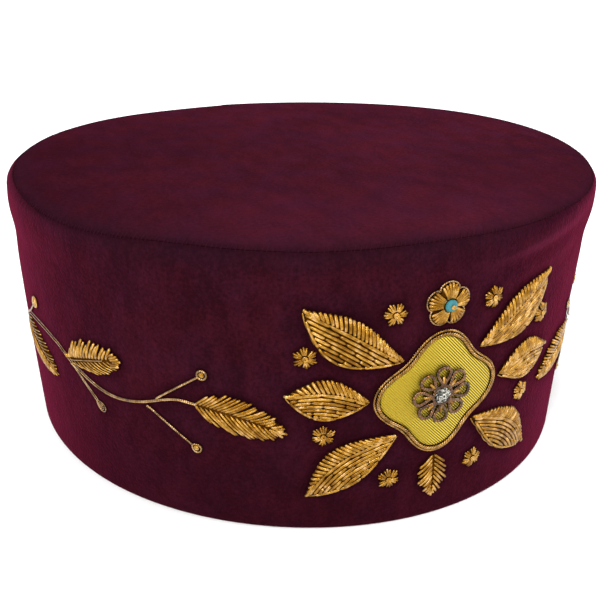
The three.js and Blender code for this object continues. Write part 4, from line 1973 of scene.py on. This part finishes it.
    def berry(self, number: int, twig: Twig) -> None:
        """Builds one berry out of loops of wire, turned along its twig.

        Args:
            number: the berry's number, from 1.
            twig: the twig that it ends.
        """
        place = np.array(twig.berry)
        aim = unit(place - np.array(twig.start))
        turn = np.linspace(np.pi, 3 * np.pi, 60)
        cos, sin = rays(turn).T[..., None]
        taper = 0.0 if twig.kind is Berry.RING else 0.25
        parts = []
        for loop in LOOPS[twig.kind]:
            aside = loop.wide * sin * (1 + taper * cos)
            flat = place + loop.long * cos * aim + aside * left_of(aim)
            parts.append(self.work.wire(self.mirrored(flat), loop.thick, loop.lift, 64, 0.85))
        middle = tuple(self.mirrored(place))
        heart = disc(middle, np.full(24, 0.95), (0.3, 0.8, 1.0, 0.4), (0.3, 0.26, 0.05, 0.0))
        metal = self.finishes.bullion if twig.kind is Berry.BUD else self.finishes.wire
        layers = [(heart, self.finishes.padding), (Surface.join(parts), metal)]
        if twig.kind in (Berry.RING, Berry.DROP):
            layers.append((self.knot(place), self.finishes.bullion))
        self.work.dress(f"berry_{self.side}_{number}", layers, f"spray_{self.side}_berry_{number}")

    def knot(self, middle: Array) -> Surface:
        """A small spiral of wire that runs in and rises to its middle.

        Args:
            middle: its flat place on the right-hand side.

        Returns:
            The wire as a flat surface.
        """
        turn = np.linspace(0, 2 * TURN, 40)
        flat = spiral(middle, 0.68, -0.6 / turn[-1], turn)
        return self.work.wire(self.mirrored(flat), 0.24, 0.4 + 0.4 * turn / turn[-1], 44, 1.0)

    def build(self) -> None:
        """Builds the stem, the leaves and the berries."""
        self.stem()
        for number, leaf in enumerate(self.leaves(), start=1):
            node = f"spray_{self.side}_leaf_{number}"
            self.work.dress(f"leaf_{self.side}_{number}", leaf.layers(), node)
        for number, twig in enumerate(self.twigs, start=1):
            self.berry(number, twig)


@dataclass
class Crest(Embroidery):
    """The front embroidery: medallion, leaves and flowers.

    Each leaf has its label, base, tip, width and bow.
    """

    leaf_sizes: tuple[tuple[str, Point, Point, float, float], ...] = (
        ("upper", (12.0, 53.5), (37.5, 69.5), 12.5, -1.8),
        ("middle", (20.4, 42.0), (42.0, 44.5), 12.0, 0.4),
        ("lower", (12.0, 30.5), (36.0, 12.5), 12.5, 1.8),
    )
    drop_half: LeafHalf = LeafHalf(4.6, 0.9, 0.75)
    drop_lay: Feathering = Feathering(48, 26, 0.42, 0.84)

    def build(self) -> None:
        """Builds every piece of the crest."""
        Medallion(self.work).build()
        for side, sign in SIDES:
            for label, base, tip, width, bow in self.leaf_sizes:
                half = LeafHalf(0.5 * width)
                leaf = CrestLeaf(self.work, LeafForm(base, tip, bow, sign, half, half))
                self.work.dress(f"crest_{side}_{label}_leaf", leaf.layers(), f"crest_leaf_{side}_{label}")
        form = LeafForm((0.0, 21.4), (0.0, 8.0), 0.0, 1, self.drop_half, self.drop_half)
        drop = SprayLeaf(self.work, form, self.drop_lay, self.drop_lay, height=0.9)
        self.work.dress("crest_drop_leaf", drop.layers(), "crest_pendant")
        flowers = CrestFlowers(self.work)
        flowers.large()
        flowers.small()


# Studio


@dataclass(frozen=True)
class Lamp:
    """One soft area lamp that looks at the cap."""

    name: str
    place: Triple
    width: float
    power: float
    target: Triple = (0.0, 0.0, 0.05)

    def build(self) -> None:
        """Builds the lamp and turns it to the middle of the cap."""
        light = bpy.data.lights.new(self.name, "AREA")
        light.shape = "DISK"
        light.size = self.width
        light.energy = self.power
        lamp = bpy.data.objects.new(self.name, light)
        lamp.location = self.place
        view = Vector(self.target) - Vector(self.place)
        lamp.rotation_euler = view.to_track_quat("-Z", "Y").to_euler()
        bpy.context.scene.collection.objects.link(lamp)


@dataclass
class Studio:
    """Floor, lamps, pale surroundings and the camera."""

    eye: Triple = (-0.10345, -0.24974, 0.14989)
    lens: float = 46.187
    pitch: float = 0.4235
    turn: float = -0.3927
    roll: float = 0.0035
    floor_reach: float = 12.0
    floor_level: float = -0.0002
    floor_cells: int = 8
    horizon: float = 0.3
    zenith: float = 1.45
    lamps: tuple[Lamp, ...] = (
        Lamp("key_lamp", (-0.62, -0.70, 0.85), 0.3, 8.6),
        Lamp("fill_lamp", (0.85, -0.55, 0.5), 0.4, 4.2),
        Lamp("back_lamp", (0.1, 0.9, 0.8), 0.8, 4.0),
    )

    def camera(self) -> None:
        """Builds the camera from its place, its turn about the vertical, its pitch and its roll."""
        data = bpy.data.cameras.new("photo_camera")
        data.sensor_width = 36.0
        data.lens = self.lens
        data.clip_start = 0.01
        data.clip_end = 60.0
        camera = bpy.data.objects.new("photo_camera", data)
        turn = Matrix.Rotation(self.turn, 4, "Z") @ Matrix.Rotation(math.pi / 2 - self.pitch, 4, "X")
        turn = turn @ Matrix.Rotation(self.roll, 4, "Z")
        camera.matrix_world = Matrix.Translation(self.eye) @ turn
        bpy.context.scene.collection.objects.link(camera)
        bpy.context.scene.camera = camera

    def floor(self, finishes: Finishes) -> None:
        """Builds the floor: a grid of one large square, just under the hem.

        Args:
            finishes: the materials.
        """
        side = self.floor_cells + 1
        steps = self.floor_reach * np.linspace(-1, 1, side)
        flat = np.stack(np.meshgrid(steps, steps, indexing="ij"), axis=-1).reshape(-1, 2)
        first = (side * np.arange(side - 1)[:, None] + np.arange(side - 1)).ravel()
        quads = np.stack([first, first + side, first + side + 1, first + 1], axis=-1)
        surface = Surface(lifted(flat, self.floor_level) / MM, quads)
        mesh_object("studio_floor", [(surface, finishes.floor)])

    def sky(self) -> None:
        """Builds the surroundings: a soft white dome that is brightest overhead and dim at the horizon."""
        world = bpy.data.worlds.new("pale_studio")
        world.use_nodes = True
        graph = Graph(world.node_tree)
        height = graph.split(graph.add("ShaderNodeTexCoord").outputs["Generated"])[2]
        glow = graph.span(height, 0.0, 0.9, self.horizon, self.zenith)
        seen = graph.add("ShaderNodeLightPath").outputs["Is Camera Ray"]
        strength = graph.math("MAXIMUM", glow, seen)
        graph.feed(graph.tree.nodes["Background"], {"Color": rgba((1.0, 1.0, 1.0)), "Strength": strength})
        bpy.context.scene.world = world

    def build(self, finishes: Finishes) -> None:
        """Builds everything round the cap.

        Args:
            finishes: the materials.
        """
        self.camera()
        self.floor(finishes)
        for lamp in self.lamps:
            lamp.build()
        self.sky()
        bpy.context.scene.view_settings.view_transform = "Standard"


def main() -> None:
    logging.basicConfig(level=logging.INFO, format="%(message)s")
    finishes = Finishes()
    Studio().build(finishes)
    wall = Wall()
    work = Goldwork(wall, finishes, np.random.default_rng(7))
    Crest(work).build()
    for side, sign in SIDES:
        Spray(work, side, sign).build()
    shell = VelvetShell(wall, finishes, work.pressed(), np.random.default_rng(3))
    shell.band()
    shell.panel()


if __name__ == "__main__":
    main()
